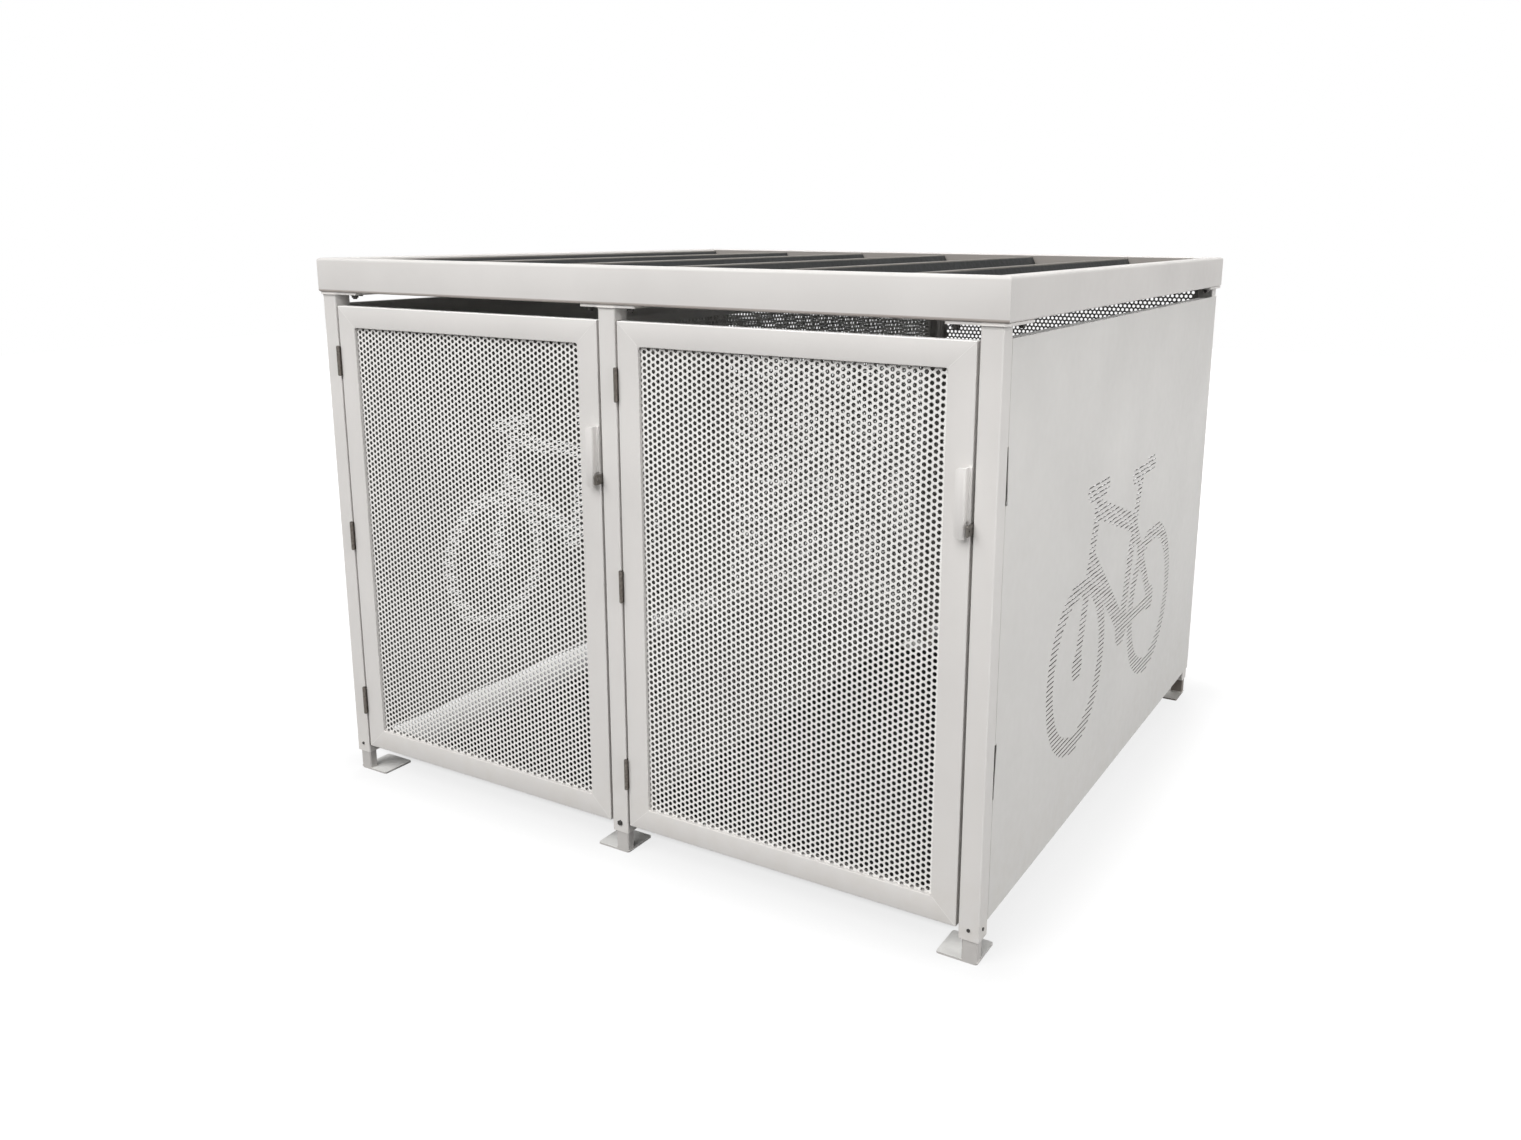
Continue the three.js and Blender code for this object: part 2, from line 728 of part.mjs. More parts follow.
function hingePin() {
  const half = hingeHeight / 2 + seatGap;
  const top = half + hingePinHeadHeight;
  const profile = [
    corner(0, -top),
    corner(hingePinHeadRadius, -top),
    corner(hingePinHeadRadius, -half),
    corner(hingePinRadius, -half),
    corner(hingePinRadius, half),
    corner(hingePinHeadRadius, half),
    corner(hingePinHeadRadius, top),
    corner(0, top),
  ];
  const pin = new THREE.LatheGeometry(profile, knuckleSides);
  pin.rotateX(Math.PI / 2);
  return solidOf(pin);
}

function buildDoor(side, axisX) {
  const door = new THREE.Group();
  door.position.set(axisX, hingeAxisY, 0);
  door.add(piece(`door_${side}_frame`, doorFrameSolid(), coat()));
  door.add(piece(`door_${side}_infill`, infillSolid(), coat()));
  door.add(piece(`door_${side}_pull`, pullSolid(), coat()));
  door.add(piece(`lock_staple_${side}`, stapleSolid(), steel()));
  door.add(piece(`door_${side}_stop`, stopSolid(), coat()));
  const low = doorBottomZ + hingeLowInset;
  const high = doorTopZ - hingeHighInset;
  const heights = { low, middle: (low + high) / 2, high };
  Object.entries(heights).forEach(([level, z]) => {
    const hinge = new THREE.Group();
    hinge.position.z = z;
    const name = `hinge_${side}_${level}`;
    hinge.add(piece(`${name}_post_leaf`, hingeLeaf(-1), steel()));
    hinge.add(piece(`${name}_door_leaf`, hingeLeaf(1), steel()));
    hinge.add(piece(`${name}_pin`, hingePin(), steel()));
    door.add(hinge);
  });
  return door;
}

const locker = new THREE.Group();
locker.name = 'bicycle_locker';
locker.position.y = frontOverhang / 2;
locker.add(buildRim());
locker.add(buildRoof());
locker.add(buildPosts());
locker.add(buildPanels());
locker.add(buildDoor('left', -postOuterX + postSize + doorGap / 2));
locker.add(buildDoor('right', postSize / 2 + doorGap / 2));

export default locker;
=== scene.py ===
"""Looks of a two-bay bicycle locker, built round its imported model. Metres, in the row frame."""

import math

import bmesh
import bpy
import numpy as np
from mathutils import Matrix, Vector


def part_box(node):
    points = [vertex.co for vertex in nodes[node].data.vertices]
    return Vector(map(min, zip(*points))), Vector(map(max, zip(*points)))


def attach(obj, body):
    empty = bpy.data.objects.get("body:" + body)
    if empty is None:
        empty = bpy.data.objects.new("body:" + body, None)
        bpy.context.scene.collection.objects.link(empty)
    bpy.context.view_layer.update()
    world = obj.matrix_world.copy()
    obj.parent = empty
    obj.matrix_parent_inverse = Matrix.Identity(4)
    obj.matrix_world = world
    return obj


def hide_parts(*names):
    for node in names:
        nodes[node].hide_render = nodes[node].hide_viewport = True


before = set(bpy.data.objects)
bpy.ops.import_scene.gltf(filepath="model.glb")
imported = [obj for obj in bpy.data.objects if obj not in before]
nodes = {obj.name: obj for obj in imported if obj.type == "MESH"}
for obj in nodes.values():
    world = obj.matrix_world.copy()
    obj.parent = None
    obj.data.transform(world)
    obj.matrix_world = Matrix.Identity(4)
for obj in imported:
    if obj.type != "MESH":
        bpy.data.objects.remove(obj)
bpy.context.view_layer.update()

SIDES = ("left", "right")
LEVELS = ("low", "middle", "high")
PLACES = [f"{end}_{side}" for end in ("front", "rear") for side in ("left", "middle", "right")]
GAP = 0.0003
POST_SIZE = 0.050
TOP_PLATE = 0.006
FOOT_PLATE = 0.005
SHEET_THICKNESS = 0.002
SOFT_EDGE = 0.0002
SAME_PLACE = 1e-7
UP = (0, 0, 1)
DOWN = (0, 0, -1)
RIGHT = (1, 0, 0)

# Camera, solved from measured points of the photograph
CAMERA_PLACE = (1.8744, -3.2422, 1.6053)
CAMERA_RIGHT = (0.86238, 0.50623, 0.00542)
CAMERA_DOWN = (0.1153, -0.18598, -0.97576)
CAMERA_FORWARD = (-0.49295, 0.84211, -0.21876)
CAMERA_LENS = 28.913
CAMERA_SHIFT = (-0.02469, -0.04626)
CAMERA_SENSOR = 36.0
CAMERA_CLIP = (0.05, 60.0)

# Perforation: round holes in staggered columns
COLUMN_PITCH = 0.01299
ROW_PITCH = 0.015
HOLE_RADIUS = 0.005
CELL_CLOSE = 1e-5

# Floor: half its width, then how its glow rises away from the locker as two distances and two levels; the
# weaker glow near the locker is a painted shadow
FLOOR_REACH = 14.0
FLOOR_NEAR = (0.0, 0.26, 0.785, 0.92)
FLOOR_FAR = (0.8, 2.4, 0.0, 0.08)

# Painted shade on the floor under the locker: axis, low or high corner of its ground, and where the painted
# shade starts and is whole
SHADE_EDGES = (
    ("X", 0, -0.22, 0.10),
    ("X", 1, -0.06, -0.14),
    ("Y", 0, 0.05, 0.14),
    ("Y", 1, 0.52, 0.04),
)

# Heights between which coats darken towards the ground as painted shade and gather dust, and where a lower
# edge's band of painted shade starts and stops
PAINTED_SHADE_HEIGHTS = (1.05, 0.03)
DUST_HEIGHTS = (0.32, 0.02)
EDGE_SHADE_HEIGHTS = (0.0075, 0.0055)

# Soft light from all round, from the horizon to straight above
SKY_LOW = 0.09
SKY_HIGH = 0.24

# Lamps: name, direction from the front and height in degrees, softness in degrees, and strength
LAMPS = (
    ("key", -12.0, 40.0, 58.0, 3.52),
    ("fill", 95.0, 16.0, 56.0, 2.52),
    ("rear", 200.0, 46.0, 30.0, 1.2),
)

# Pictogram of horizontal slots in the side panels; its field is from front to rear and from low to high
SLOT_PITCH = 0.01255
SLOT_HEIGHT = 0.0033
SHORTEST_SLOT = 0.010
SLOT_FIELD = (-0.62, 0.64, 0.20, 1.10)

# Tapered notches in the side panels' front edges: lengths, and distances from the panel's top and bottom
NOTCH_SHALLOW = 0.003
NOTCH_DEEP = 0.0095
UPPER_NOTCH = 0.125
LOWER_NOTCH = 0.130
NOTCH_DOWN = 0.221
NOTCH_UP = 0.288


# Materials


class Tree:
    """Short calls that build a node tree."""

    def __init__(self, tree):
        self.nodes = tree.nodes
        self.links = tree.links

    def feed(self, source, socket):
        """Gives a socket its source, which is another socket or a plain value."""
        if isinstance(source, bpy.types.NodeSocket):
            self.links.new(source, socket)
        else:
            socket.default_value = source

    def add(self, kind, *sources, **settings):
        """A new node whose first inputs get the sources. None leaves an input as it is."""
        node = self.nodes.new(kind)
        for key, value in settings.items():
            setattr(node, key, value)
        for source, socket in zip(sources, node.inputs):
            if source is not None:
                self.feed(source, socket)
        return node

    def ramp(self, value, low, high, to_low=0.0, to_high=1.0, **settings):
        return self.add("ShaderNodeMapRange", value, low, high, to_low, to_high, **settings).outputs[0]

    def soft_ramp(self, *values):
        return self.ramp(*values, interpolation_type="SMOOTHSTEP")

    def times(self, a, b):
        return self.add("ShaderNodeMath", a, b, operation="MULTIPLY").outputs[0]

    def blend(self, factor, first, second):
        return self.add("ShaderNodeMixShader", factor, first, second).outputs[0]

    def axes(self, vector):
        return self.add("ShaderNodeSeparateXYZ", vector).outputs


class Coat(Tree):
    """Short calls that build one material round its surface shader."""

    def __init__(self, name):
        self.material = bpy.data.materials.new(name)
        self.material.use_nodes = True
        super().__init__(self.material.node_tree)
        self.shader = self.nodes["Principled BSDF"]
        self.place = self.add("ShaderNodeTexCoord").outputs["Object"]

    def noise(self, scale, detail=3.0, roughness=0.5, stretch=None):
        place = self.place
        if stretch:
            place = self.add("ShaderNodeMapping", place, None, None, stretch).outputs[0]
        node = self.add("ShaderNodeTexNoise", place)
        for key, value in (("Scale", scale), ("Detail", detail), ("Roughness", roughness)):
            node.inputs[key].default_value = value
        return node.outputs["Fac"]

    def height(self):
        return self.axes(self.place)["Z"]

    def facing_up(self):
        """1 on faces that look up, 0 on upright ones and -1 on faces that look down."""
        return self.axes(self.add("ShaderNodeTexCoord").outputs["Normal"])["Z"]

    def mix(self, factor, a, b):
        node = self.add("ShaderNodeMix", factor, data_type="RGBA")
        for colour, socket in ((a, node.inputs[6]), (b, node.inputs[7])):
            self.feed((*colour, 1.0) if isinstance(colour, tuple) else colour, socket)
        return node.outputs[2]

    def bump(self, *layers):
        """Each layer is a height, its strength and its depth in metres."""
        normal = None
        for value, strength, depth in layers:
            node = self.add("ShaderNodeBump")
            node.inputs["Strength"].default_value = strength
            node.inputs["Distance"].default_value = depth
            self.feed(value, node.inputs["Height"])
            if normal is not None:
                self.feed(normal, node.inputs["Normal"])
            normal = node.outputs["Normal"]
        self.feed(normal, self.shader.inputs["Normal"])

    def colour(self, value):
        self.feed(value, self.shader.inputs["Base Color"])

    def rough(self, value):
        self.feed(value, self.shader.inputs["Roughness"])

    def set(self, **values):
        for key, value in values.items():
            self.shader.inputs[key.replace("_", " ")].default_value = value
        return self.material


def srgb(red, green, blue):
    """A colour of three bytes as linear light."""
    shares = (red / 255, green / 255, blue / 255)
    return tuple(c / 12.92 if c <= 0.04045 else ((c + 0.055) / 1.055) ** 2.4 for c in shares)


def scaled(colour, *factors):
    """The colour times one factor, or times a factor for each channel."""
    return tuple(c * f for c, f in zip(colour, factors if len(factors) > 1 else factors * 3))


def satin(n, peel):
    """Gives a coat the sheen and the orange peel of powder coating."""
    n.rough(n.ramp(n.noise(38.0, 3.0), 0.3, 0.7, 0.42, 0.56))
    n.bump((n.noise(620.0, 1.0), peel, 0.0006), (n.noise(70.0, 2.0), 0.04, 0.002))
    return n.set(Specular_IOR_Level=0.4)


def powder_coat(name, base, dirt=0.5, peel=0.12, eave=None):
    """Satin powder coat with fine orange peel, faint clouds and streaks, painted shade that darkens it
    towards the ground, and a little dust near the ground.

    eave is the height of a lower edge that gets a band of painted shade, as where a rail's lower rounding
    lies in shade.
    """
    n = Coat(name)
    light = tuple(min(1.0, c * 1.035) for c in base)
    dark = scaled(base, 0.955)
    dust = scaled(base, 0.80, 0.775, 0.73)
    clouds = n.ramp(n.noise(2.6, 4.0), 0.36, 0.66)
    body = n.mix(clouds, dark, light)
    streaks = n.ramp(n.noise(9.0, 4.0, 0.6, (1.0, 1.0, 0.07)), 0.52, 0.78, 0.0, 0.12)
    streaked = n.mix(streaks, body, dark)
    specks = n.ramp(n.noise(420.0, 2.0), 0.70, 0.78, 0.0, 0.30)
    speckled = n.mix(specks, streaked, dust)
    # Painted shade: the coat darkens towards the ground.
    shaded = n.mix(n.ramp(n.height(), *PAINTED_SHADE_HEIGHTS, 0.0, 0.6), speckled, scaled(base, 0.80))
    # Painted shade: a darker, brownish band along the lower edge above eave.
    if eave is not None:
        edge_shade = scaled(base, 0.60, 0.555, 0.53)
        edge = n.ramp(n.height(), *(eave + height for height in EDGE_SHADE_HEIGHTS))
        shaded = n.mix(edge, shaded, edge_shade)
    low = n.ramp(n.height(), *DUST_HEIGHTS, 0.0, dirt)
    patches = n.ramp(n.noise(16.0, 5.0, 0.65), 0.40, 0.72)
    n.colour(n.mix(n.times(low, patches), shaded, dust))
    return satin(n, peel)


def foot_coat_painted_light(name, base, leg):
    """Powder coat of a foot with painted light and shade: faces that look up take the pale plate colour as a
    painted highlight, and upright faces take the darker leg colour as painted shade.
    """
    n = Coat(name)
    patches = n.ramp(n.noise(24.0, 5.0, 0.65), 0.40, 0.72, 0.0, 0.5)
    plate = n.mix(patches, base, scaled(base, 0.88))
    upright = n.mix(patches, leg, scaled(leg, 0.86))
    n.colour(n.mix(n.ramp(n.facing_up(), 0.4, 0.8), upright, plate))
    return satin(n, 0.12)


def zinc(name, base, metallic=0.85, rough=(0.34, 0.52)):
    """Zinc-plated steel with a soft spangle, fine scratches and dull patches."""
    n = Coat(name)
    light = tuple(min(1.0, c * 1.18) for c in base)
    dark = scaled(base, 0.72)
    spangle = n.ramp(n.noise(160.0, 2.0), 0.35, 0.65)
    plated = n.mix(spangle, dark, light)
    stain = n.ramp(n.noise(45.0, 5.0, 0.7), 0.55, 0.75, 0.0, 0.45)
    n.colour(n.mix(stain, plated, scaled(base, 0.62, 0.56, 0.50)))
    n.rough(n.ramp(n.noise(240.0, 3.0), 0.3, 0.7, *rough))
    scratches = n.noise(900.0, 2.0, 0.5, (1.0, 1.0, 0.05))
    n.bump((scratches, 0.15, 0.0002), (n.noise(90.0, 3.0), 0.08, 0.0006))
    return n.set(Metallic=metallic)


def roofing(name, web, crest, web_height, crest_height):
    """Dark coated roofing sheet, with dust on the webs and crests that are lighter towards their tops."""
    n = Coat(name)
    clouds = n.ramp(n.noise(3.5, 5.0, 0.6), 0.35, 0.68)
    body = n.mix(clouds, scaled(web, 0.88), scaled(web, 1.14))
    streaks = n.ramp(n.noise(14.0, 4.0, 0.6, (1.0, 0.06, 1.0)), 0.5, 0.75, 0.0, 0.5)
    dusty = n.mix(streaks, body, scaled(web, 1.35))
    rise = n.ramp(n.height(), web_height, crest_height)
    lighter_crest = n.times(n.ramp(rise, 0.86, 0.97), n.ramp(n.noise(30.0, 4.0), 0.2, 0.6, 0.75, 1.0))
    top = n.mix(lighter_crest, dusty, crest)
    n.colour(n.mix(n.ramp(n.facing_up(), -0.4, -0.6), top, scaled(web, 15)))
    n.rough(n.ramp(n.noise(60.0, 3.0), 0.3, 0.7, 0.50, 0.66))
    n.bump((n.noise(700.0, 1.0), 0.10, 0.0005), (n.noise(12.0, 2.0), 0.06, 0.004))
    return n.set(Specular_IOR_Level=0.35)


COAT = srgb(214, 211, 208)
SHEET = srgb(213, 211, 208)

roof_low, roof_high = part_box("roof_sheet")
coat = powder_coat("frame_powder_coat", COAT)
# The front and back rails get a band of painted shade along their lower edge.
rim_coat = powder_coat("rim_powder_coat", COAT, eave=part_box("roof_rail_front")[0].z)
panel_coat = powder_coat("panel_powder_coat", SHEET, peel=0.14)
door_coat = powder_coat("door_powder_coat", COAT)
infill_coat = powder_coat("infill_powder_coat", srgb(230, 228, 225), dirt=0.2)
# Dark coat on the hole walls of the door infills: painted shade in the holes.
hole_shade_coat = powder_coat("hole_painted_shade", srgb(84, 82, 79), dirt=0.6, peel=0.2)
# Darker coat on the inner faces of the front and back rails: painted shade.
rim_inside_shade = powder_coat("rim_inside_painted_shade", srgb(134, 129, 124), dirt=0.0, peel=0.2)
weld_coat = powder_coat("weld_powder_coat", srgb(210, 207, 203), dirt=0.6, peel=0.3)
# Dark coat on the walls of the pictogram's slots: painted shade.
slot_shade_coat = powder_coat("slot_painted_shade", srgb(120, 116, 112), peel=0.2)
mitre_coat = powder_coat("mitre_coat", srgb(233, 231, 228), dirt=0.2)
# Paler coat on the upper faces at the top of doors, pulls and side panels: a painted highlight.
top_highlight_coat = powder_coat("top_painted_highlight", srgb(250, 249, 247), dirt=0.0)
# Dark coat on the strips behind the side panels' notches: painted shade.
notch_shade_coat = powder_coat("notch_painted_shade", srgb(58, 50, 46), dirt=0.2, peel=0.3)
# Front feet: paler upward faces as a painted highlight and darker legs as painted shade.
foot_coat = foot_coat_painted_light("foot_coat_painted_light", srgb(228, 227, 224), srgb(180, 177, 174))
# Rear feet: the same, and darker all over as painted shade.
rear_foot_shade_coat = foot_coat_painted_light("rear_foot_painted_shade", srgb(186, 183, 178), srgb(122, 115, 108))
roof_coat = roofing("roof_sheet_coat", srgb(50, 51, 51), srgb(128, 124, 118), roof_low.z, roof_high.z)
steel = zinc("hinge_zinc", srgb(112, 106, 100))
dark_steel = zinc("staple_zinc", srgb(112, 108, 103), rough=(0.30, 0.46))
bolt_steel = zinc("bolt_black_zinc", srgb(62, 60, 58), metallic=0.7)


# Mesh helpers


class Mesh:
    """Collects points and faces, then becomes one object that rides on a body."""

    def __init__(self):
        self.points = []
        self.faces = []
        self.slots = []

    def add(self, points, faces, slot=0):
        start = len(self.points)
        self.points.extend(tuple(p) for p in points)
        self.faces.extend([tuple(start + i for i in face) for face in faces])
        self.slots.extend([slot] * len(faces))

    def make(self, name, materials, body, replaces=(), smooth=35.0):
        mesh = bpy.data.meshes.new(name)
        mesh.from_pydata(self.points, [], self.faces)
        if any(self.slots):
            mesh.polygons.foreach_set("material_index", self.slots)
        work = bmesh.new()
        work.from_mesh(mesh)
        merge(work)
        face_outwards(work)
        work.to_mesh(mesh)
        work.free()
        return place_mesh(name, mesh, materials, body, replaces, smooth)


def face_outwards(work):
    """Makes all faces look out of the solid."""
    bmesh.ops.recalc_face_normals(work, faces=work.faces)
    if work.calc_volume(signed=True) < 0:
        bmesh.ops.reverse_faces(work, faces=work.faces)


def smooth_below(mesh, angle):
    """Smooth shading, except across edges sharper than the angle in degrees."""
    mesh.polygons.foreach_set("use_smooth", [True] * len(mesh.polygons))
    mesh.set_sharp_from_angle(angle=math.radians(angle))


def new_object(name, data):
    """A new object in the scene."""
    made = bpy.data.objects.new(name, data)
    bpy.context.scene.collection.objects.link(made)
    return made


def merge(work, distance=1e-6):
    """Joins points that lie together."""
    bmesh.ops.remove_doubles(work, verts=work.verts, dist=distance)


def place_mesh(name, mesh, materials, body, replaces=(), smooth=35.0):
    for material in materials:
        mesh.materials.append(material)
    smooth_below(mesh, smooth)
    piece = new_object(name, mesh)
    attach(piece, body)
    if replaces:
        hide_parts(*replaces)
    return piece


def rounded_loop(x0, x1, z0, z1, radius, steps):
    """A rectangle with rounded corners as points (x, z), anticlockwise, the same count for any radius."""
    loop = []
    for quarter, (sx, sz) in enumerate(((1, -1), (1, 1), (-1, 1), (-1, -1))):
        cx = (x1 if sx > 0 else x0) - sx * radius
        cz = (z1 if sz > 0 else z0) - sz * radius
        for step in range(steps + 1):
            angle = (quarter - 1 + step / steps) * math.pi / 2
            loop.append((cx + radius * math.cos(angle), cz + radius * math.sin(angle)))
    return loop


def upright_loop(edges, grow, y, radius, steps):
    """A rounded rectangle that stands in the plane y, grown outwards on all sides."""
    x0, x1, z0, z1 = edges
    loop = rounded_loop(x0 - grow, x1 + grow, z0 - grow, z1 + grow, radius, steps)
    return [(x, y, z) for x, z in loop]


def arc(cx, cy, radius, start, end, steps):
    """Points (x, y) along an arc between two angles in degrees."""
    angles = [math.radians(start + (end - start) * i / steps) for i in range(steps + 1)]
    return [(cx + radius * math.cos(a), cy + radius * math.sin(a)) for a in angles]


def loft(mesh, loops, slot=0, closed=True, caps=False):
    """Faces between loops of equal length. closed joins the last loop to the first."""
    count = len(loops[0])
    points = [p for loop in loops for p in loop]
    faces = []
    rows = len(loops) if closed else len(loops) - 1
    for r in range(rows):
        a, b = r * count, (r + 1) % len(loops) * count
        for i in range(count):
            j = (i + 1) % count
            faces.append((a + i, a + j, b + j, b + i))
    if caps:
        faces.append(tuple(range(count)))
        faces.append(tuple(reversed(range((len(loops) - 1) * count, len(loops) * count))))
    mesh.add(points, faces, slot)


def turned(centre, axis, side, stations, sides):
    """Loops of a turned shape. stations are (distance along the axis, radius) pairs."""
    centre, axis, side = Vector(centre), Vector(axis), Vector(side)
    other = axis.cross(side)
    angles = [2 * math.pi * i / sides for i in range(sides)]
    return [
        [centre + axis * along + (side * math.cos(t) + other * math.sin(t)) * radius for t in angles]
        for along, radius in stations
    ]


def add_turned(mesh, centre, axis, side, stations, sides):
    """A turned solid that is closed by flat ends."""
    loft(mesh, turned(centre, axis, side, stations, sides), closed=False, caps=True)


def add_block(mesh, loop, starts, slot=0):
    """A prism along x. loop holds points (y, z), and starts its two ends."""
    loft(mesh, [[(x, y, z) for y, z in loop] for x in starts], slot, closed=False, caps=True)


# Perforated sheets


# Faces round an eight-sided hole, from the cell's six corners to the hole's points 6 to 13
OCTAGON_RIM = [
    (0, 1, 7, 6), (1, 8, 7), (1, 2, 8), (2, 9, 8), (2, 3, 10, 9),
    (3, 4, 11, 10), (4, 12, 11), (4, 5, 12), (5, 13, 12), (5, 0, 6, 13),
]


def perforated_cells(columns, rows, u0, v0, sides, radius, thickness):
    """Staggered cells with one hole each, as points (u, v, depth) and faces.

    Odd columns sit half a pitch higher.
    """
    corners = np.array([[1, 0], [1, 1], [-1, 1], [-1, 0], [-1, -1], [1, -1]], float)
    outline = corners * (COLUMN_PITCH / 2, ROW_PITCH / 2)
    turn = np.arange(sides) * 2 * math.pi / sides
    hole = np.stack([np.cos(turn), np.sin(turn)], 1) * radius
    flat = np.vstack([outline, hole])
    block = np.vstack([
        np.column_stack([flat, np.zeros(len(flat))]),
        np.column_stack([flat, np.full(len(flat), thickness)]),
    ])
    rim = OCTAGON_RIM
    if sides == 6:
        rim = [(i, (i + 1) % 6, 6 + (i + 1) % 6, 6 + i) for i in range(6)]
    half = len(flat)
    faces = rim + [tuple(half + i for i in reversed(face)) for face in rim]
    for i in range(sides):
        a, b = 6 + i, 6 + (i + 1) % sides
        faces.append((b, a, half + a, half + b))
    centres = [
        (u0 + (c + 0.5) * COLUMN_PITCH, v0 + (r + 0.5 + 0.5 * (c % 2)) * ROW_PITCH)
        for c in range(columns) for r in range(rows)
    ]
    shift = np.column_stack([np.array(centres), np.zeros(len(centres))])
    points = (block[None, :, :] + shift[:, None, :]).reshape(-1, 3)
    size = len(block)
    cells = [tuple(k * size + i for i in face) for k in range(len(centres)) for face in faces]
    return points, cells


def perforated_mesh(name, border, columns, rows, sides, thickness, to_space):
    """Perforated sheet in a border (u0, u1, v0, v1). It cuts the cells, or a plain margin reaches it."""
    b0, b1, c0, c1 = border
    u0 = (b0 + b1) / 2 - columns * COLUMN_PITCH / 2
    v0 = (c0 + c1) / 2 - (rows + 0.5) * ROW_PITCH / 2
    u1 = u0 + columns * COLUMN_PITCH
    v1 = v0 + (rows + 0.5) * ROW_PITCH
    same_area = math.sqrt(math.pi / (sides / 2 * math.sin(2 * math.pi / sides)))
    points, faces = perforated_cells(columns, rows, u0, v0, sides, HOLE_RADIUS * same_area, thickness)
    mesh = bpy.data.meshes.new(name)
    mesh.from_pydata(points.tolist(), [], faces)
    work = bmesh.new()
    work.from_mesh(mesh)
    merge(work, CELL_CLOSE)
    if b0 > u0 or b1 < u1 or c0 > v0 or c1 < v1:
        cuts = (
            ((b0, 0, 0), (-1, 0, 0)),
            ((b1, 0, 0), (1, 0, 0)),
            ((0, c0, 0), (0, -1, 0)),
            ((0, c1, 0), (0, 1, 0)),
        )
        for place, out in cuts:
            every = work.verts[:] + work.edges[:] + work.faces[:]
            cut = bmesh.ops.bisect_plane(
                work, geom=every, plane_co=place, plane_no=out, clear_outer=True, dist=SAME_PLACE
            )
            rim = [e for e in cut["geom_cut"] if isinstance(e, bmesh.types.BMEdge)]
            bmesh.ops.edgenet_fill(work, edges=rim)
    else:
        add_margin(work, columns, rows, u0, v0, thickness, border)
    for vert in work.verts:
        vert.co = to_space(*vert.co)
    face_outwards(work)
    work.to_mesh(mesh)
    work.free()
    return mesh


def cells_inside(border, margin):
    """How many columns and rows of cells fit inside a border with a plain margin."""
    columns = int((border[1] - border[0] - 2 * margin) / COLUMN_PITCH)
    rows = int((border[3] - border[2] - 2 * margin) / ROW_PITCH - 0.5)
    return columns, rows


def add_margin(work, columns, rows, u0, v0, thickness, border):
    """Plain strips from the outer cells to the sheet's edges, with the sheet's four edge faces."""
    b0, b1, c0, c1 = border
    u1 = u0 + columns * COLUMN_PITCH
    low, high = [], []
    for c in range(columns):
        lift = 0.5 * (c % 2) * ROW_PITCH
        for u in (u0 + c * COLUMN_PITCH, u0 + (c + 1) * COLUMN_PITCH):
            low.append((u, v0 + lift))
            high.append((u, v0 + lift + rows * ROW_PITCH))

    def side(column, u):
        lift = 0.5 * (column % 2) * ROW_PITCH
        return [(u, v0 + lift + r * ROW_PITCH / 2) for r in range(2 * rows + 1)]

    left, right = side(0, u0), side(columns - 1, u1)
    strips = [
        [(b0, c0), (b1, c0), right[0], *reversed(low[:-1])],
        [(b1, c1), (b0, c1), left[-1], *high[1:]],
        [(b0, c1), (b0, c0), *left],
        [(b1, c0), (b1, c1), *reversed(right)],
    ]
    for depth in (0.0, thickness):
        for strip in strips:
            work.faces.new([work.verts.new((u, v, depth)) for u, v in strip])
    ring = [(b0, c0), (b1, c0), (b1, c1), (b0, c1)]
    for i in range(4):
        (ua, va), (ub, vb) = ring[i], ring[(i + 1) % 4]
        quad = [(ua, va, 0.0), (ub, vb, 0.0), (ub, vb, thickness), (ua, va, thickness)]
        work.faces.new([work.verts.new(p) for p in quad])
    merge(work, CELL_CLOSE)


# Doors


def build_infill(side):
    """Perforated infill whose cells are cut at the ring's opening."""
    low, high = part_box(f"door_{side}_infill")
    columns = math.ceil((high.x - low.x) / COLUMN_PITCH) + 1
    rows = math.ceil((high.z - low.z) / ROW_PITCH) + 1
    mesh = perforated_mesh(
        f"infill_{side}", (low.x, high.x, low.z, high.z), columns, rows, 8, high.y - low.y,
        lambda u, v, d: (u, low.y + d, v),
    )
    # Hole walls take the third, dark coat as painted shade.
    coats = [0 if f.normal.y < -0.9 else 1 if f.normal.y > 0.9 else 2 for f in mesh.polygons]
    mesh.polygons.foreach_set("material_index", coats)
    place_mesh(
        f"infill_{side}", mesh, [infill_coat, door_coat, hole_shade_coat], f"door_{side}",
        [f"door_{side}_infill"], 50.0,
    )


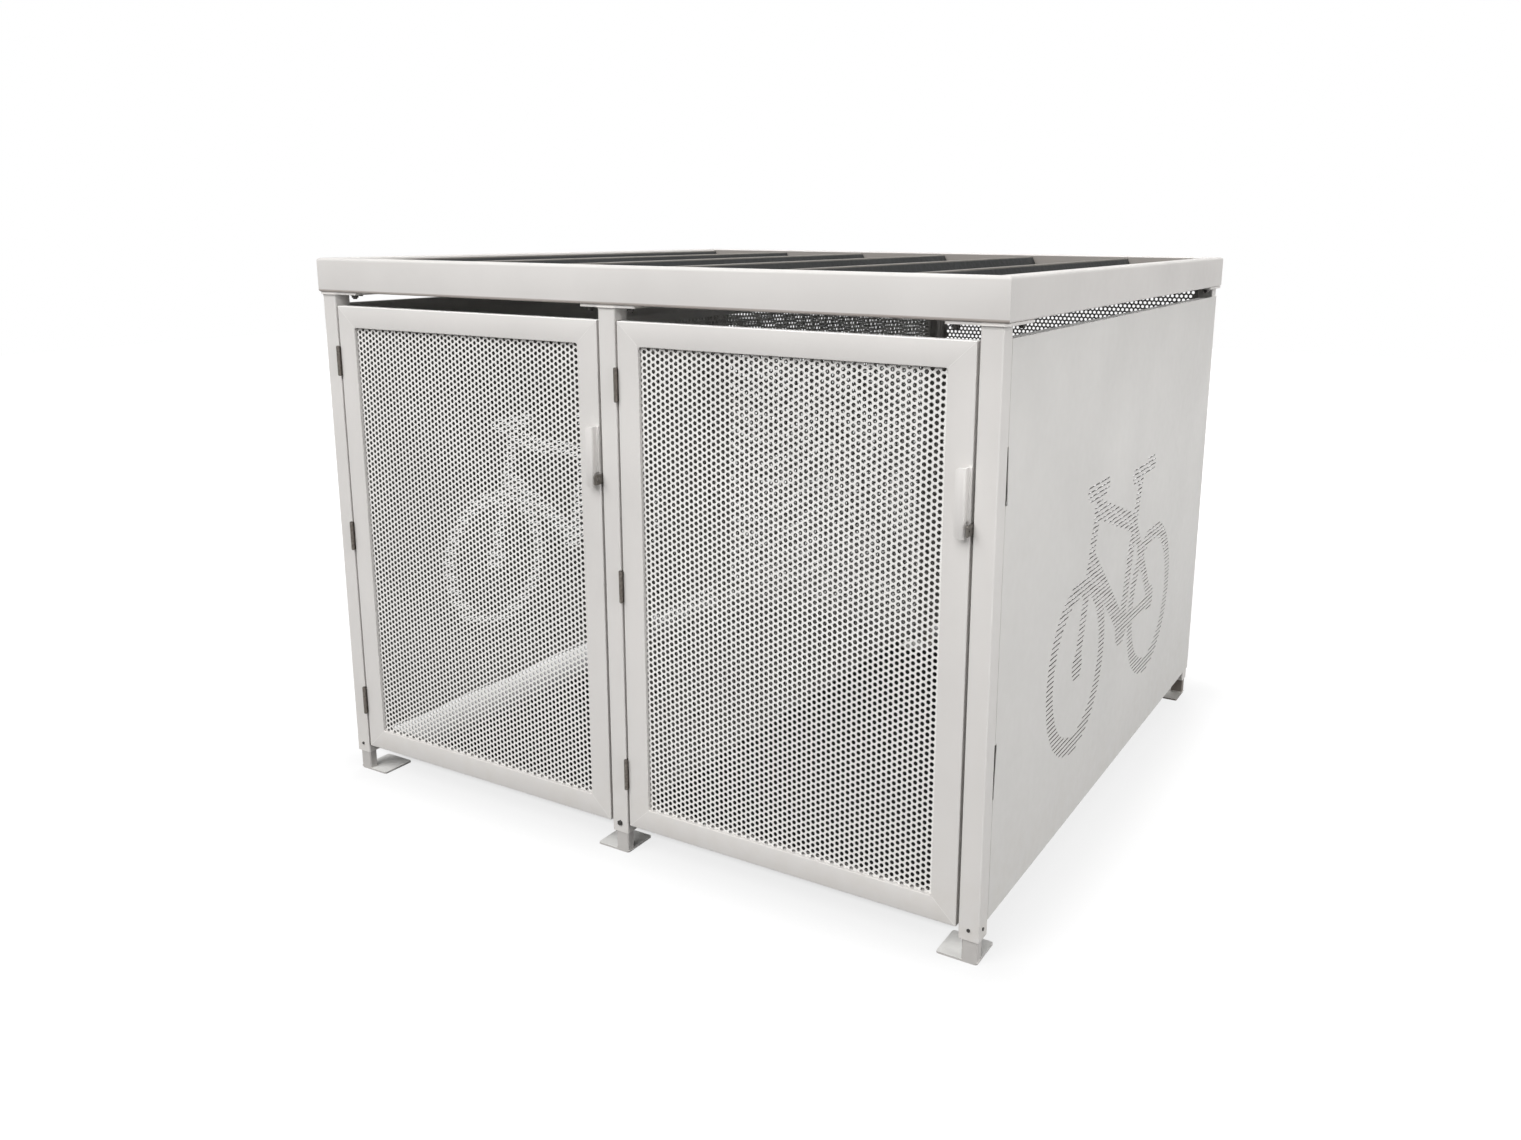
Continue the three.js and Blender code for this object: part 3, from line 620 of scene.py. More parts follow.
def build_ring(side):
    """The door's welded ring: soft edges, and a ground seam at each mitre."""
    low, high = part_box(f"door_{side}_frame")
    inner_low, inner_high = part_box(f"door_{side}_infill")
    outer = (low.x, high.x, low.z, high.z)
    opening = (inner_low.x - GAP, inner_high.x + GAP, inner_low.z - GAP, inner_high.z + GAP)
    edge, opening_edge = 0.0022, 0.0016
    outer_radius, opening_radius = 0.0012, 0.006
    front, back = low.y, high.y

    def outside(share, depth_share, face, way):
        y = face + way * edge * (1 - depth_share)
        return upright_loop(outer, -edge * (1 - share), y, outer_radius, 4)

    def inside(share, depth_share, face, way):
        grow = opening_edge * (1 - share)
        y = face + way * opening_edge * (1 - depth_share)
        return upright_loop(opening, grow, y, opening_radius + grow, 4)

    turns = [(math.sin(a), math.cos(a)) for a in (math.radians(30 * step) for step in range(4))]
    loops = [outside(cos, sin, front, 1) for sin, cos in turns]
    loops += [inside(sin, cos, front, 1) for sin, cos in turns]
    loops += [inside(cos, sin, back, -1) for sin, cos in turns]
    loops += [outside(sin, cos, back, -1) for sin, cos in turns]
    mesh = Mesh()
    loft(mesh, loops)
    replaced = [f"door_{side}_frame"]
    piece = mesh.make(f"ring_{side}", [door_coat, top_highlight_coat], f"door_{side}", replaced, 40.0)
    lighten_top(piece, high.z)

    seams = Mesh()
    width, proud, flat, seam_start, seam_end = 0.0011, 0.00012, 0.4, 0.05, 0.955
    for x_out, x_in in ((outer[0], opening[0]), (outer[1], opening[1])):
        for z_out, z_in in ((outer[2], opening[2]), (outer[3], opening[3])):
            corner = Vector((x_out, 0, z_out))
            mitre = Vector((x_in, 0, z_in)) - corner
            start, end = corner + mitre * seam_start, corner + mitre * seam_end
            way = mitre.normalized()
            across = Vector((-way.z, 0, way.x)) * width / 2
            for y, out in ((front, -proud), (back, proud)):
                section = [(-1, -out), (-flat, out), (flat, out), (1, -out)]
                ends = (start + Vector((0, y, 0)), end + Vector((0, y, 0)))
                loops = [[p + across * a + Vector((0, d, 0)) for a, d in section] for p in ends]
                loft(seams, loops, closed=False, caps=True)
    seams.make(f"mitre_seams_{side}", [mitre_coat], f"door_{side}")


def folded_strip(section, thickness, radius, steps):
    """Stations of a folded strip's two faces, from the corners of its middle line: (left, right) pairs."""
    pairs = []
    half = thickness / 2
    corners = [Vector(c) for c in section]

    def put(point, normal):
        pairs.append((point + normal * half, point - normal * half))

    def across(way):
        return Vector((-way.y, way.x))

    put(corners[0], across((corners[1] - corners[0]).normalized()))
    for i in range(1, len(corners) - 1):
        before = (corners[i] - corners[i - 1]).normalized()
        after = (corners[i + 1] - corners[i]).normalized()
        turn = math.atan2(before.x * after.y - before.y * after.x, before.dot(after))
        bend = radius + half
        start = corners[i] - before * bend * math.tan(abs(turn) / 2)
        normal = across(before)
        centre = start + normal * math.copysign(bend, turn)
        for step in range(steps + 1):
            rotate = Matrix.Rotation(turn * step / steps, 2)
            put(centre + rotate @ (start - centre), rotate @ normal)
    put(corners[-1], across((corners[-1] - corners[-2]).normalized()))
    return pairs


def build_pull(side):
    """Bent pull: a flange on the stile, a web out to the front and a lip with rounded free corners."""
    low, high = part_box(f"door_{side}_pull")
    thickness, bend, flange = 0.003, 0.0025, 0.0085
    corner_radius, corner_steps = 0.012, 8
    cut, behind_lip = low.z + 0.036, low.y + 0.009
    mid = thickness / 2
    web = high.x - flange + mid
    lip = low.y + mid
    face = high.y - mid
    pairs = folded_strip([(high.x, face), (web, face), (web, lip), (low.x, lip)], thickness, bend, 6)
    last = pairs.pop()
    start_x = low.x + corner_radius
    for step in range(corner_steps + 1):
        x = start_x - corner_radius * math.sin(math.pi / 2 * step / corner_steps)
        pairs.append((Vector((x, last[0].y)), Vector((x, last[1].y))))
    step = next(i for i, (left, right) in enumerate(pairs) if (left.y + right.y) / 2 < behind_lip) - 1
    pairs.insert(step + 1, tuple(Vector((p.x, behind_lip)) for p in pairs[step]))

    def span(x, y):
        """The pull's lower and upper end at a station: rounded at the lip, cut short on the web."""
        into = max(0.0, (start_x - x) / corner_radius)
        drop = corner_radius * (1 - math.sqrt(max(0.0, 1 - min(1.0, into) ** 2)))
        bottom = cut if x > high.x - flange - bend and y > behind_lip else low.z + drop
        return bottom, high.z - drop

    stations = []
    for i, (left, right) in enumerate(pairs):
        if i == step + 1:
            stations.append((left, right, cut, high.z))
        stations.append((left, right, *span((left.x + right.x) / 2, (left.y + right.y) / 2)))
    loops = [
        [(left.x, left.y, z0), (right.x, right.y, z0), (right.x, right.y, z1), (left.x, left.y, z1)]
        for left, right, z0, z1 in stations
    ]
    mesh = Mesh()
    loft(mesh, loops, closed=False, caps=True)
    replaced = [f"door_{side}_pull"]
    piece = mesh.make(f"pull_{side}", [door_coat, top_highlight_coat], f"door_{side}", replaced, 40.0)
    soften(piece, 0.0005)
    lighten_top(piece, high.z)

    bead = Mesh()
    edge = high.x - flange
    radius, ripple, upright_inset, top_inset = 0.0012, 0.0022, 0.002, 0.001
    upright = [(edge, high.y, cut + upright_inset), (edge, high.y, high.z - upright_inset)]
    along_top = [(edge + top_inset, high.y, high.z), (high.x - top_inset, high.y, high.z)]
    weld_bead(bead, upright, radius, ripple)
    weld_bead(bead, along_top, radius, ripple)
    bead.make(f"pull_weld_{side}", [weld_coat], f"door_{side}")


def lighten_top(piece, top):
    """Gives the upper faces at a piece's top its second, paler coat, a painted highlight."""
    reach, least_rise = 0.013, 0.5
    for face in piece.data.polygons:
        if face.normal.z > least_rise and face.center.z > top - reach:
            face.material_index = 1


def soften(piece, width, angle=40.0, segments=2):
    """Rounds a piece's sharp edges in its mesh."""
    work = bmesh.new()
    work.from_mesh(piece.data)
    limit = math.radians(angle)
    sharp = [e for e in work.edges if len(e.link_faces) == 2 and e.calc_face_angle() > limit]
    bmesh.ops.bevel(
        work, geom=sharp, offset=width, segments=segments, affect="EDGES", profile=0.5, clamp_overlap=True
    )
    merge(work)
    work.to_mesh(piece.data)
    work.free()
    smooth_below(piece.data, 50.0)


def weld_bead(mesh, path, radius, ripple):
    """A weld bead along straight runs between points, with ripples across it and thin ends."""
    crest, dip, first, growth, sides = 1.10, 0.92, 0.55, 0.25, 8
    askew = Vector((0.31, 0.57, 0.76))
    for start, end in zip(path, path[1:]):
        run = Vector(end) - Vector(start)
        way = run.normalized()
        side = way.cross(askew).normalized()
        rings = max(4, round(run.length / ripple) * 2)
        stations = []
        for k in range(rings + 1):
            swell = crest if k % 2 else dip
            taper = min(1.0, first + min(k, rings - k) * growth)
            stations.append((run.length * k / rings, radius * swell * taper))
        add_turned(mesh, start, way, side, stations, sides)


def build_staple(side):
    """Staple plate with rounded corners and a round hole, seen edge-on in the lock gap."""
    low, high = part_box(f"lock_staple_{side}")
    radius, hole_radius, hole_proud = 0.004, 0.0045, 0.013
    outline = rounded_loop(low.y, high.y, low.z, high.z, radius, 5)
    count = len(outline)
    cy, cz = low.y + hole_proud, (low.z + high.z) / 2
    hole = []
    for y, z in outline:
        angle = math.atan2(z - cz, y - cy)
        hole.append((cy + hole_radius * math.cos(angle), cz + hole_radius * math.sin(angle)))
    mesh = Mesh()
    points = [(x, y, z) for x in (low.x, high.x) for ring in (outline, hole) for y, z in ring]
    faces = []
    for i in range(count):
        j = (i + 1) % count
        faces.append((i, j, count + j, count + i))
        faces.append((2 * count + j, 2 * count + i, 3 * count + i, 3 * count + j))
        faces.append((j, i, 2 * count + i, 2 * count + j))
        faces.append((count + i, count + j, 3 * count + j, 3 * count + i))
    mesh.add(points, faces)
    piece = mesh.make(f"staple_{side}", [dark_steel], "frame", [f"lock_staple_{side}"], 40.0)
    soften(piece, 0.0004)


def build_hinge(side, level):
    """Butt hinge: two leaves in the gap, a barrel of three knuckles in front of it and a headed pin."""
    name = f"hinge_{side}_{level}"
    leaf_low, leaf_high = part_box(f"{name}_post_leaf")
    pin_low, pin_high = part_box(f"{name}_pin")
    centre = (pin_low + pin_high) / 2
    radius, bore, chamfer, outer_knuckle = 0.005, 0.0033, 0.0006, 0.0164
    pin_radius, head_radius, head_edge = 0.003, 0.0042, 0.0005
    plate, outside, play, knuckle_play = 0.0023, 0.0027, 0.0004, 0.00035
    half = (leaf_high.z - leaf_low.z) / 2
    middle = half - outer_knuckle
    lower, centred, upper = (-half, -middle), (-middle, middle), (middle, half)

    def knuckle(mesh, z0, z1):
        profile = [
            (z0, bore), (z0, radius - chamfer), (z0 + chamfer, radius),
            (z1 - chamfer, radius), (z1, radius - chamfer), (z1, bore),
        ]
        loft(mesh, turned(centre, UP, RIGHT, profile, 28))

    def leaf(mesh, x0, held, free):
        """Held spans of a leaf reach into their knuckle, and free ones end behind the other leaf's."""
        for spans, front in ((held, centre.y + (radius + bore) / 2), (free, centre.y + radius + play)):
            for z0, z1 in spans:
                loop = rounded_loop(front, leaf_high.y, centre.z + z0, centre.z + z1, SOFT_EDGE, 2)
                add_block(mesh, loop, (x0, x0 + plate))

    post = Mesh()
    knuckle(post, *lower)
    knuckle(post, *upper)
    leaf(post, centre.x - outside, [lower, upper], [centred])
    post.make(f"{name}_post_half", [steel], "frame", [f"{name}_post_leaf"], 40.0)

    door = Mesh()
    knuckle(door, -middle + knuckle_play, middle - knuckle_play)
    leaf(door, centre.x + outside - plate, [(-middle + play, middle - play)], [lower, upper])
    door.make(f"{name}_door_half", [steel], f"door_{side}", [f"{name}_door_leaf"], 40.0)

    pin = Mesh()
    top, neck = pin_high.z - centre.z, half + GAP
    end = [(neck, pin_radius), (neck, head_radius), (top - head_edge, head_radius), (top, pin_radius)]
    profile = [(-along, r) for along, r in reversed(end)] + end
    add_turned(pin, centre, UP, RIGHT, profile, 24)
    pin.make(f"{name}_headed_pin", [dark_steel], "frame", [f"{name}_pin"], 40.0)


for side in SIDES:
    build_infill(side)
    build_ring(side)
    build_pull(side)
    build_staple(side)
    for level in LEVELS:
        build_hinge(side, level)


# Panels


def build_back_panel(side):
    """Perforated back panel up to the top plates, with a plain margin and folded edges."""
    low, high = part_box(f"back_panel_{side}")
    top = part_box(f"post_rear_{side}")[1].z - TOP_PLATE - GAP
    thickness, margin = SHEET_THICKNESS, 0.006
    corner_radius, edge_radius, edge_turn = 0.0006, 0.0012, 0.0004
    border = (low.z + thickness, top - thickness, low.x + thickness, high.x - thickness)
    mesh = perforated_mesh(
        f"back_sheet_{side}", border, *cells_inside(border, margin), 6, thickness,
        lambda u, v, d: (v, high.y - d, u),
    )
    replaced = [f"back_panel_{side}"]
    place_mesh(f"back_sheet_{side}", mesh, [panel_coat], "frame", replaced, 50.0)
    edges = (low.x, high.x, low.z, top)
    stations = (
        (0, high.y - edge_radius), (edge_turn, high.y - edge_turn), (edge_radius, high.y),
        (thickness, high.y), (thickness, low.y), (0, low.y),
    )
    rim = Mesh()
    loft(rim, [upright_loop(edges, -inward, y, corner_radius, 2) for inward, y in stations])
    rim.make(f"back_rim_{side}", [panel_coat], "frame")


def build_divider():
    """Perforated divider with folded ends against the middle posts."""
    low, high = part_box("divider_panel")
    thickness, margin, fold, bend = SHEET_THICKNESS, 0.012, 0.004, 0.002
    border = (low.z, high.z, low.y + fold, high.y - fold)
    mesh = perforated_mesh(
        "divider_sheet", border, *cells_inside(border, margin), 6, thickness,
        lambda u, v, d: (low.x + d, v, u),
    )
    place_mesh("divider_sheet", mesh, [panel_coat], "frame", ["divider_panel"], 50.0)
    ends = Mesh()
    middle = low.x + thickness / 2
    for sign, y in ((-1, low.y), (1, high.y)):
        flange = y - sign * thickness / 2
        line = [(middle, y - sign * fold), (middle, flange), (high.x, flange)]
        loops = [
            [(p.x, p.y, z) for p, z in ((a, low.z), (b, low.z), (b, high.z), (a, high.z))]
            for a, b in folded_strip(line, thickness, bend, 5)
        ]
        loft(ends, loops, closed=False, caps=True)
    ends.make("divider_folds", [panel_coat], "frame")


build_back_panel("left")
build_back_panel("right")
build_divider()


# Side panels


def on_ring(y, z, centre, outer, inner):
    """Whether a point lies on a ring, or on a disc when its inner radius is 0."""
    return inner <= math.hypot(y - centre[0], z - centre[1]) <= outer


def near_line(y, z, a, b, half):
    """Whether a point lies within half of the line from a to b."""
    run = (b[0] - a[0], b[1] - a[1])
    share = ((y - a[0]) * run[0] + (z - a[1]) * run[1]) / (run[0] ** 2 + run[1] ** 2)
    share = min(1.0, max(0.0, share))
    return math.hypot(y - a[0] - share * run[0], z - a[1] - share * run[1]) <= half


FRONT_HUB = (-0.338, 0.512)
REAR_HUB = (0.356, 0.512)
BRACKET = (0.059, 0.506)
HEAD_LOW = (-0.262, 0.775)
HEAD_TOP = (-0.232, 0.905)
SEAT_TOP = (0.168, 0.890)
SEAT_JOIN = (0.135, 0.790)
BAR_FRONT = (-0.300, 0.958)
BAR_REAR = (-0.165, 0.958)
SADDLE_FRONT = (0.112, 0.930)
SADDLE_REAR = (0.300, 0.938)

# Wheels, hubs and chainring: centre, outer radius and inner radius
RINGS = (
    (FRONT_HUB, 0.2325, 0.184),
    (REAR_HUB, 0.2325, 0.184),
    (FRONT_HUB, 0.040, 0.0),
    (REAR_HUB, 0.040, 0.0),
    (BRACKET, 0.056, 0.0),
)

# Tubes, bar and saddle: both ends of the middle line, and half the width
TUBES = (
    (BRACKET, HEAD_LOW, 0.028),
    (BRACKET, SEAT_JOIN, 0.027),
    (HEAD_TOP, SEAT_JOIN, 0.026),
    (REAR_HUB, BRACKET, 0.021),
    (REAR_HUB, SEAT_JOIN, 0.020),
    (FRONT_HUB, HEAD_TOP, 0.024),
    (HEAD_TOP, (-0.222, 0.955), 0.022),
    (SEAT_JOIN, SEAT_TOP, 0.022),
    (SEAT_TOP, (0.185, 0.935), 0.022),
    (BAR_FRONT, BAR_REAR, 0.024),
    (SADDLE_FRONT, SADDLE_REAR, 0.024),
)


def in_bicycle(y, z):
    """The pictogram: two wheels, a diamond frame, a bar and a saddle, drawn for this model."""
    return any(on_ring(y, z, *ring) for ring in RINGS) or any(near_line(y, z, *tube) for tube in TUBES)


def slot_rows():
    """Rows of slots as (z, [start and end of each slot in turn]), felt out in steps along each row."""
    y0, y1, z0, z1 = SLOT_FIELD
    step = 0.001
    rows = []
    for row in range(int((z1 - z0) / SLOT_PITCH)):
        z = z0 + (row + 0.5) * SLOT_PITCH
        inside = [in_bicycle(y0 + i * step, z) for i in range(int((y1 - y0) / step))]
        ends, start = [], None
        for i, here in enumerate(inside + [False]):
            if here and start is None:
                start = i
            if not here and start is not None:
                if (i - start) * step >= SHORTEST_SLOT:
                    ends += [y0 + start * step, y0 + i * step]
                start = None
        if ends:
            rows.append((z, ends))
    return rows


def front_edge(y0, notches):
    """A function that gives the front edge between two heights as points (y, z), from low to high."""

    def front(z):
        for wide, narrow in notches:
            if min(wide, narrow) < z < max(wide, narrow):
                return y0 + NOTCH_SHALLOW + (NOTCH_DEEP - NOTCH_SHALLOW) * (z - narrow) / (wide - narrow)
        return y0

    def points(za, zb):
        found = [(front(za), za)]
        for z in sorted(z for pair in notches for z in pair if za < z < zb):
            wide, narrow = next(pair for pair in notches if z in pair)
            corner = (y0 + (NOTCH_DEEP if z == wide else NOTCH_SHALLOW), z)
            opens = (narrow if z == wide else wide) > z
            found += [(y0, z), corner] if opens else [corner, (y0, z)]
        return found + [(front(zb), zb)]

    return points


def side_flats(low, high, notches):
    """The slotted face as flat shapes of points (y, z): strips between the rows, and what divides slots."""
    front = front_edge(low.y, notches)

    def strip(below, z_below, above, z_above):
        return [
            *reversed(front(z_below, z_above)), *((y, z_below) for y in below),
            (high.y, z_below), (high.y, z_above), *((y, z_above) for y in reversed(above)),
        ]

    flats, below, z_below = [], [], low.z
    for z, ends in slot_rows():
        za, zb = z - SLOT_HEIGHT / 2, z + SLOT_HEIGHT / 2
        flats.append(strip(below, z_below, ends, za))
        flats.append(front(za, zb) + [(ends[0], zb), (ends[0], za)])
        for ya, yb in zip(ends[1::2], ends[2::2] + [high.y]):
            flats.append([(ya, za), (yb, za), (yb, zb), (ya, zb)])
        below, z_below = ends, zb
    flats.append(strip(below, z_below, [], high.z))
    return flats


def build_side_sheet(side, low, high, face_x, sign, notches):
    """Face of the side panel, with the pictogram cut through it and the notches in its front edge."""
    work = bmesh.new()
    for flat in side_flats(low, high, notches):
        unique = [p for p, before in zip(flat, flat[-1:] + flat) if math.dist(p, before) > SAME_PLACE]
        work.faces.new([work.verts.new((face_x, y, z)) for y, z in unique])
    merge(work)
    bmesh.ops.recalc_face_normals(work, faces=work.faces)
    if sum(f.normal.x for f in work.faces) * sign < 0:
        bmesh.ops.reverse_faces(work, faces=work.faces)
    sheet = bmesh.ops.extrude_face_region(work, geom=work.faces[:])
    moved = [v for v in sheet["geom"] if isinstance(v, bmesh.types.BMVert)]
    bmesh.ops.translate(work, verts=moved, vec=(-sign * SHEET_THICKNESS, 0, 0))
    face_outwards(work)
    # Walls of the slots take the second, dark coat as painted shade.
    clear_y, clear_z = 0.1, 0.05
    for face in work.faces:
        place = face.calc_center_median()
        inside_y = low.y + clear_y < place.y < high.y - clear_y
        inside_z = low.z + clear_z < place.z < high.z - clear_z
        if inside_y and inside_z and abs(face.normal.x) < 0.5:
            face.material_index = 1
    mesh = bpy.data.meshes.new(f"side_sheet_{side}")
    work.to_mesh(mesh)
    work.free()
    replaced = [f"side_panel_{side}"]
    place_mesh(f"side_sheet_{side}", mesh, [panel_coat, slot_shade_coat], "frame", replaced, 40.0)


def build_side_folds(side, low, high, face_x, sign, notches):
    """Flanges of the side panel, the filled seam at its front post and a dark strip behind each notch as
    painted shade.
    """
    folds = Mesh()
    thickness, strip_thickness, strip_radius = SHEET_THICKNESS, 0.0016, 0.0004
    seam_out, seam_in, seam_front, seam_back = 0.0007, 0.0040, 0.0020, 0.0002
    inner_x = face_x - sign * thickness
    flange_ends = sorted((low.x if side == "right" else high.x, inner_x))
    strip_ends = sorted((inner_x - sign * (thickness + strip_thickness), inner_x - sign * thickness))
    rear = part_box(f"post_rear_{side}")[0].y - GAP
    start = low.y + thickness

    def flange(y0, y1, z0, z1):
        add_block(folds, rounded_loop(y0, y1, z0, z1, SOFT_EDGE, 1), flange_ends)

    spans = sorted([low.z, high.z] + [z for pair in notches for z in pair])
    for i, (z0, z1) in enumerate(zip(spans, spans[1:])):
        if i % 2 == 0:
            flange(low.y, start, z0, z1)
            filler = [(seam_out, low.y), (seam_out, low.y - seam_front), (seam_in, low.y - seam_back)]
            loops = [[(face_x - sign * depth, y, z) for depth, y in filler] for z in (z0, z1)]
            loft(folds, loops, 2, closed=False, caps=True)
        else:
            # The strip behind the notch is dark: painted shade.
            strip_rear = low.y + NOTCH_DEEP + 2 * thickness
            strip = rounded_loop(start, strip_rear, z0 - thickness, z1 + thickness, strip_radius, 1)
            add_block(folds, strip, strip_ends, 3)
    flange(start, rear, high.z - thickness, high.z)
    flange(start, rear, low.z, low.z + thickness)
    coats = [panel_coat, top_highlight_coat, weld_coat, notch_shade_coat]
    lighten_top(folds.make(f"side_folds_{side}", coats, "frame"), high.z)


for side in SIDES:
    low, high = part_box(f"side_panel_{side}")
    upper, lower = high.z - NOTCH_DOWN, low.z + NOTCH_UP
    notches = ((upper - UPPER_NOTCH, upper), (lower + LOWER_NOTCH, lower))
    outside = (high.x, 1) if side == "right" else (low.x, -1)
    build_side_sheet(side, low, high, *outside, notches)
    build_side_folds(side, low, high, *outside, notches)


# Roof rim


def build_rail(end):
    """One mitred box rail of the rim with soft edges and a wall that shows at both mitres."""
    low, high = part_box(f"roof_rail_{end}")
    along_x = end in ("front", "back")
    width = high.y - low.y if along_x else high.x - low.x
    half = (high.x - low.x if along_x else high.y - low.y) / 2
    height = high.z - low.z
    middle = (low + high) / 2
    top, inner_top, bottom, wall = 0.008, 0.004, 0.005, 0.003
    arcs = [
        arc(bottom, bottom, bottom, 180, 270, 4),
        arc(width - bottom, bottom, bottom, 270, 360, 4),
        arc(width - inner_top, height - inner_top, inner_top, 0, 90, 4),
        arc(top, height - top, top, 90, 180, 6),
    ]
    section = [point for part in arcs for point in part]
    hollow = [(wall, wall), (width - wall, wall), (width - wall, height - wall), (wall, height - wall)]
    place = {
        "front": lambda along, inward: (middle.x + along, low.y + inward),
        "back": lambda along, inward: (middle.x - along, high.y - inward),
        "right": lambda along, inward: (high.x - inward, middle.y + along),
        "left": lambda along, inward: (low.x + inward, middle.y - along),
    }[end]

    def mitred(points, sign):
        return [(*place(sign * (half - inward), inward), low.z + rise) for inward, rise in points]

    mesh = Mesh()
    loft(mesh, [mitred(section, sign) for sign in (-1, 1)], closed=False)
    # The inner face of the front and back rails takes the darker second coat as painted shade.
    if along_x:
        inner_face = len(arcs[0]) + len(arcs[1]) - 1
        mesh.slots[inner_face] = 1
    loft(mesh, [mitred(hollow, sign) for sign in (-1, 1)], closed=False)
    starts = [sum(len(part) for part in arcs[:i]) for i in range(4)]
    for sign in (-1, 1):
        faces = []
        for corner, start in enumerate(starts):
            last = start + len(arcs[corner]) - 1
            bore, after = len(section) + corner, (corner + 1) % 4
            faces += [(i, i + 1, bore) for i in range(start, last)]
            faces.append((last, starts[after], len(section) + after, bore))
        mesh.add(mitred(section, sign) + mitred(hollow, sign), faces)
    # Front and back rails take the coat with the band of painted shade along their lower edge.
    outer_coat = rim_coat if along_x else coat
    mesh.make(f"rim_{end}", [outer_coat, rim_inside_shade], "frame", [f"roof_rail_{end}"], 30.0)


for end in ("front", "back", "left", "right"):
    build_rail(end)


# Welds and bolts


def post_centre_x(place):
    low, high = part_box(f"foot_screw_{place}")
    return (low.x + high.x) / 2


def build_post_welds():
    """Ground weld flares where the posts meet their top plates."""
    flare, radius, least_radius, sunk, depth = 0.004, 0.004, 0.002, 0.001, 0.007
    profile = (
        (flare, 0.0), (flare * 0.35, 0.0012), (flare * 0.08, 0.0035),
        (0.0, depth), (-sunk, depth), (-sunk, 0.0),
    )
    mesh = Mesh()
    for place in PLACES:
        low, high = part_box(f"post_{place}")
        x0 = post_centre_x(place) - POST_SIZE / 2
        y0 = low.y if place.startswith("front") else high.y - POST_SIZE
        x1, y1 = x0 + POST_SIZE, y0 + POST_SIZE
        loops = []
        for out, drop in profile:
            loop = rounded_loop(x0 - out, x1 + out, y0 - out, y1 + out, max(radius + out, least_radius), 4)
            loops.append([(x, y, high.z - TOP_PLATE - drop) for x, y in loop])
        loft(mesh, loops)
    mesh.make("post_welds", [coat], "frame", (), 50.0)


def build_foot_weld(place):
    """Weld bead round the leg on its foot plate."""
    low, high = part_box(f"foot_{place}")
    leg_width, leg_depth, leg_right = 0.038, 0.025, 0.0215
    radius, ripple, lift = 0.0019, 0.0026, 0.0006
    x1 = post_centre_x(place) + leg_right
    x0 = x1 - leg_width
    outer, inner = (low.y, low.y + leg_depth) if place.startswith("front") else (high.y, high.y - leg_depth)
    z = low.z + FOOT_PLATE + lift
    mesh = Mesh()
    weld_bead(mesh, [(x0, outer, z), (x0, inner, z), (x1, inner, z), (x1, outer, z)], radius, ripple)
    mesh.make(f"foot_weld_{place}", [weld_coat], f"foot_{place}")


# Parts of a bolt that hangs under a plate: drop, number of sides, and stations (drop, radius)
BOLT_PARTS = (
    (0.0, 24, [(0.0, 0.0118), (0.0016, 0.0118), (0.0020, 0.0114)]),
    (0.0020, 6, [(0.0, 0.0092), (0.0050, 0.0092), (0.0058, 0.0084)]),
    (0.0078, 16, [(0.0, 0.0058), (0.0030, 0.0058), (0.0036, 0.0050)]),
)


def hex_bolt(mesh, x, y, z):
    """Washer, hexagonal head and shank end under a plate at height z."""
    for drop, sides, stations in BOLT_PARTS:
        add_turned(mesh, (x, y, z - drop), DOWN, RIGHT, stations, sides)


def build_plate_bolts():
    """Bolts up through the top plates into the rim: two by a middle post, one in each arm of a corner."""
    beside_post, from_end = 0.060, 0.020
    mesh = Mesh()
    for place in PLACES:
        end, side = place.split("_")
        low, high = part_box(f"post_{place}")
        z = high.z - TOP_PLATE
        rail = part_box("roof_rail_front" if end == "front" else "roof_rail_back")
        y = (rail[0].y + rail[1].y) / 2
        if side == "middle":
            hex_bolt(mesh, -beside_post, y, z)
            hex_bolt(mesh, beside_post, y, z)
            continue
        hex_bolt(mesh, high.x - from_end if side == "left" else low.x + from_end, y, z)
        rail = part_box(f"roof_rail_{side}")
        inside = high.y - from_end if end == "front" else low.y + from_end
        hex_bolt(mesh, (rail[0].x + rail[1].x) / 2, inside, z)
    mesh.make("plate_bolts", [bolt_steel], "frame", (), 40.0)


def build_edge_rib():
    """Half rib that closes the roof sheet's left edge against the rim."""
    thickness, crest, foot = 0.0012, 0.0055, 0.023
    x, top, pan = roof_low.x, roof_high.z, roof_low.z + thickness + GAP
    outline = [
        (x, top), (x + crest, top), (x + foot, pan),
        (x + foot - thickness, pan), (x + crest - thickness / 2, top - thickness), (x, top - thickness),
    ]
    mesh = Mesh()
    loft(mesh, [[(x, y, z) for x, z in outline] for y in (roof_low.y, roof_high.y)], closed=False, caps=True)
    mesh.make("roof_edge_rib", [roof_coat], "frame")


build_edge_rib()
build_post_welds()
build_plate_bolts()
for place in PLACES:
    build_foot_weld(place)


# Finishes of the nodes that stay


def dress(name, material):
    node = nodes[name]
    node.data.materials.clear()
    node.data.materials.append(material)


for name, node in nodes.items():
    if node.hide_render:
        continue
    if name == "roof_sheet" or name.startswith("roof_bearer"):
        dress(name, roof_coat)
    elif "screw" in name:
        dress(name, bolt_steel)
    elif name.startswith("foot_"):
        # The rear feet take the darker coat: painted shade.
        dress(name, rear_foot_shade_coat if "rear" in name else foot_coat)
    else:
        dress(name, coat)


# Floor, light and camera


def footprint():
    """The ground under the panels, as its low and its high corner."""
    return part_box("side_panel_left")[0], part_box("side_panel_right")[1]


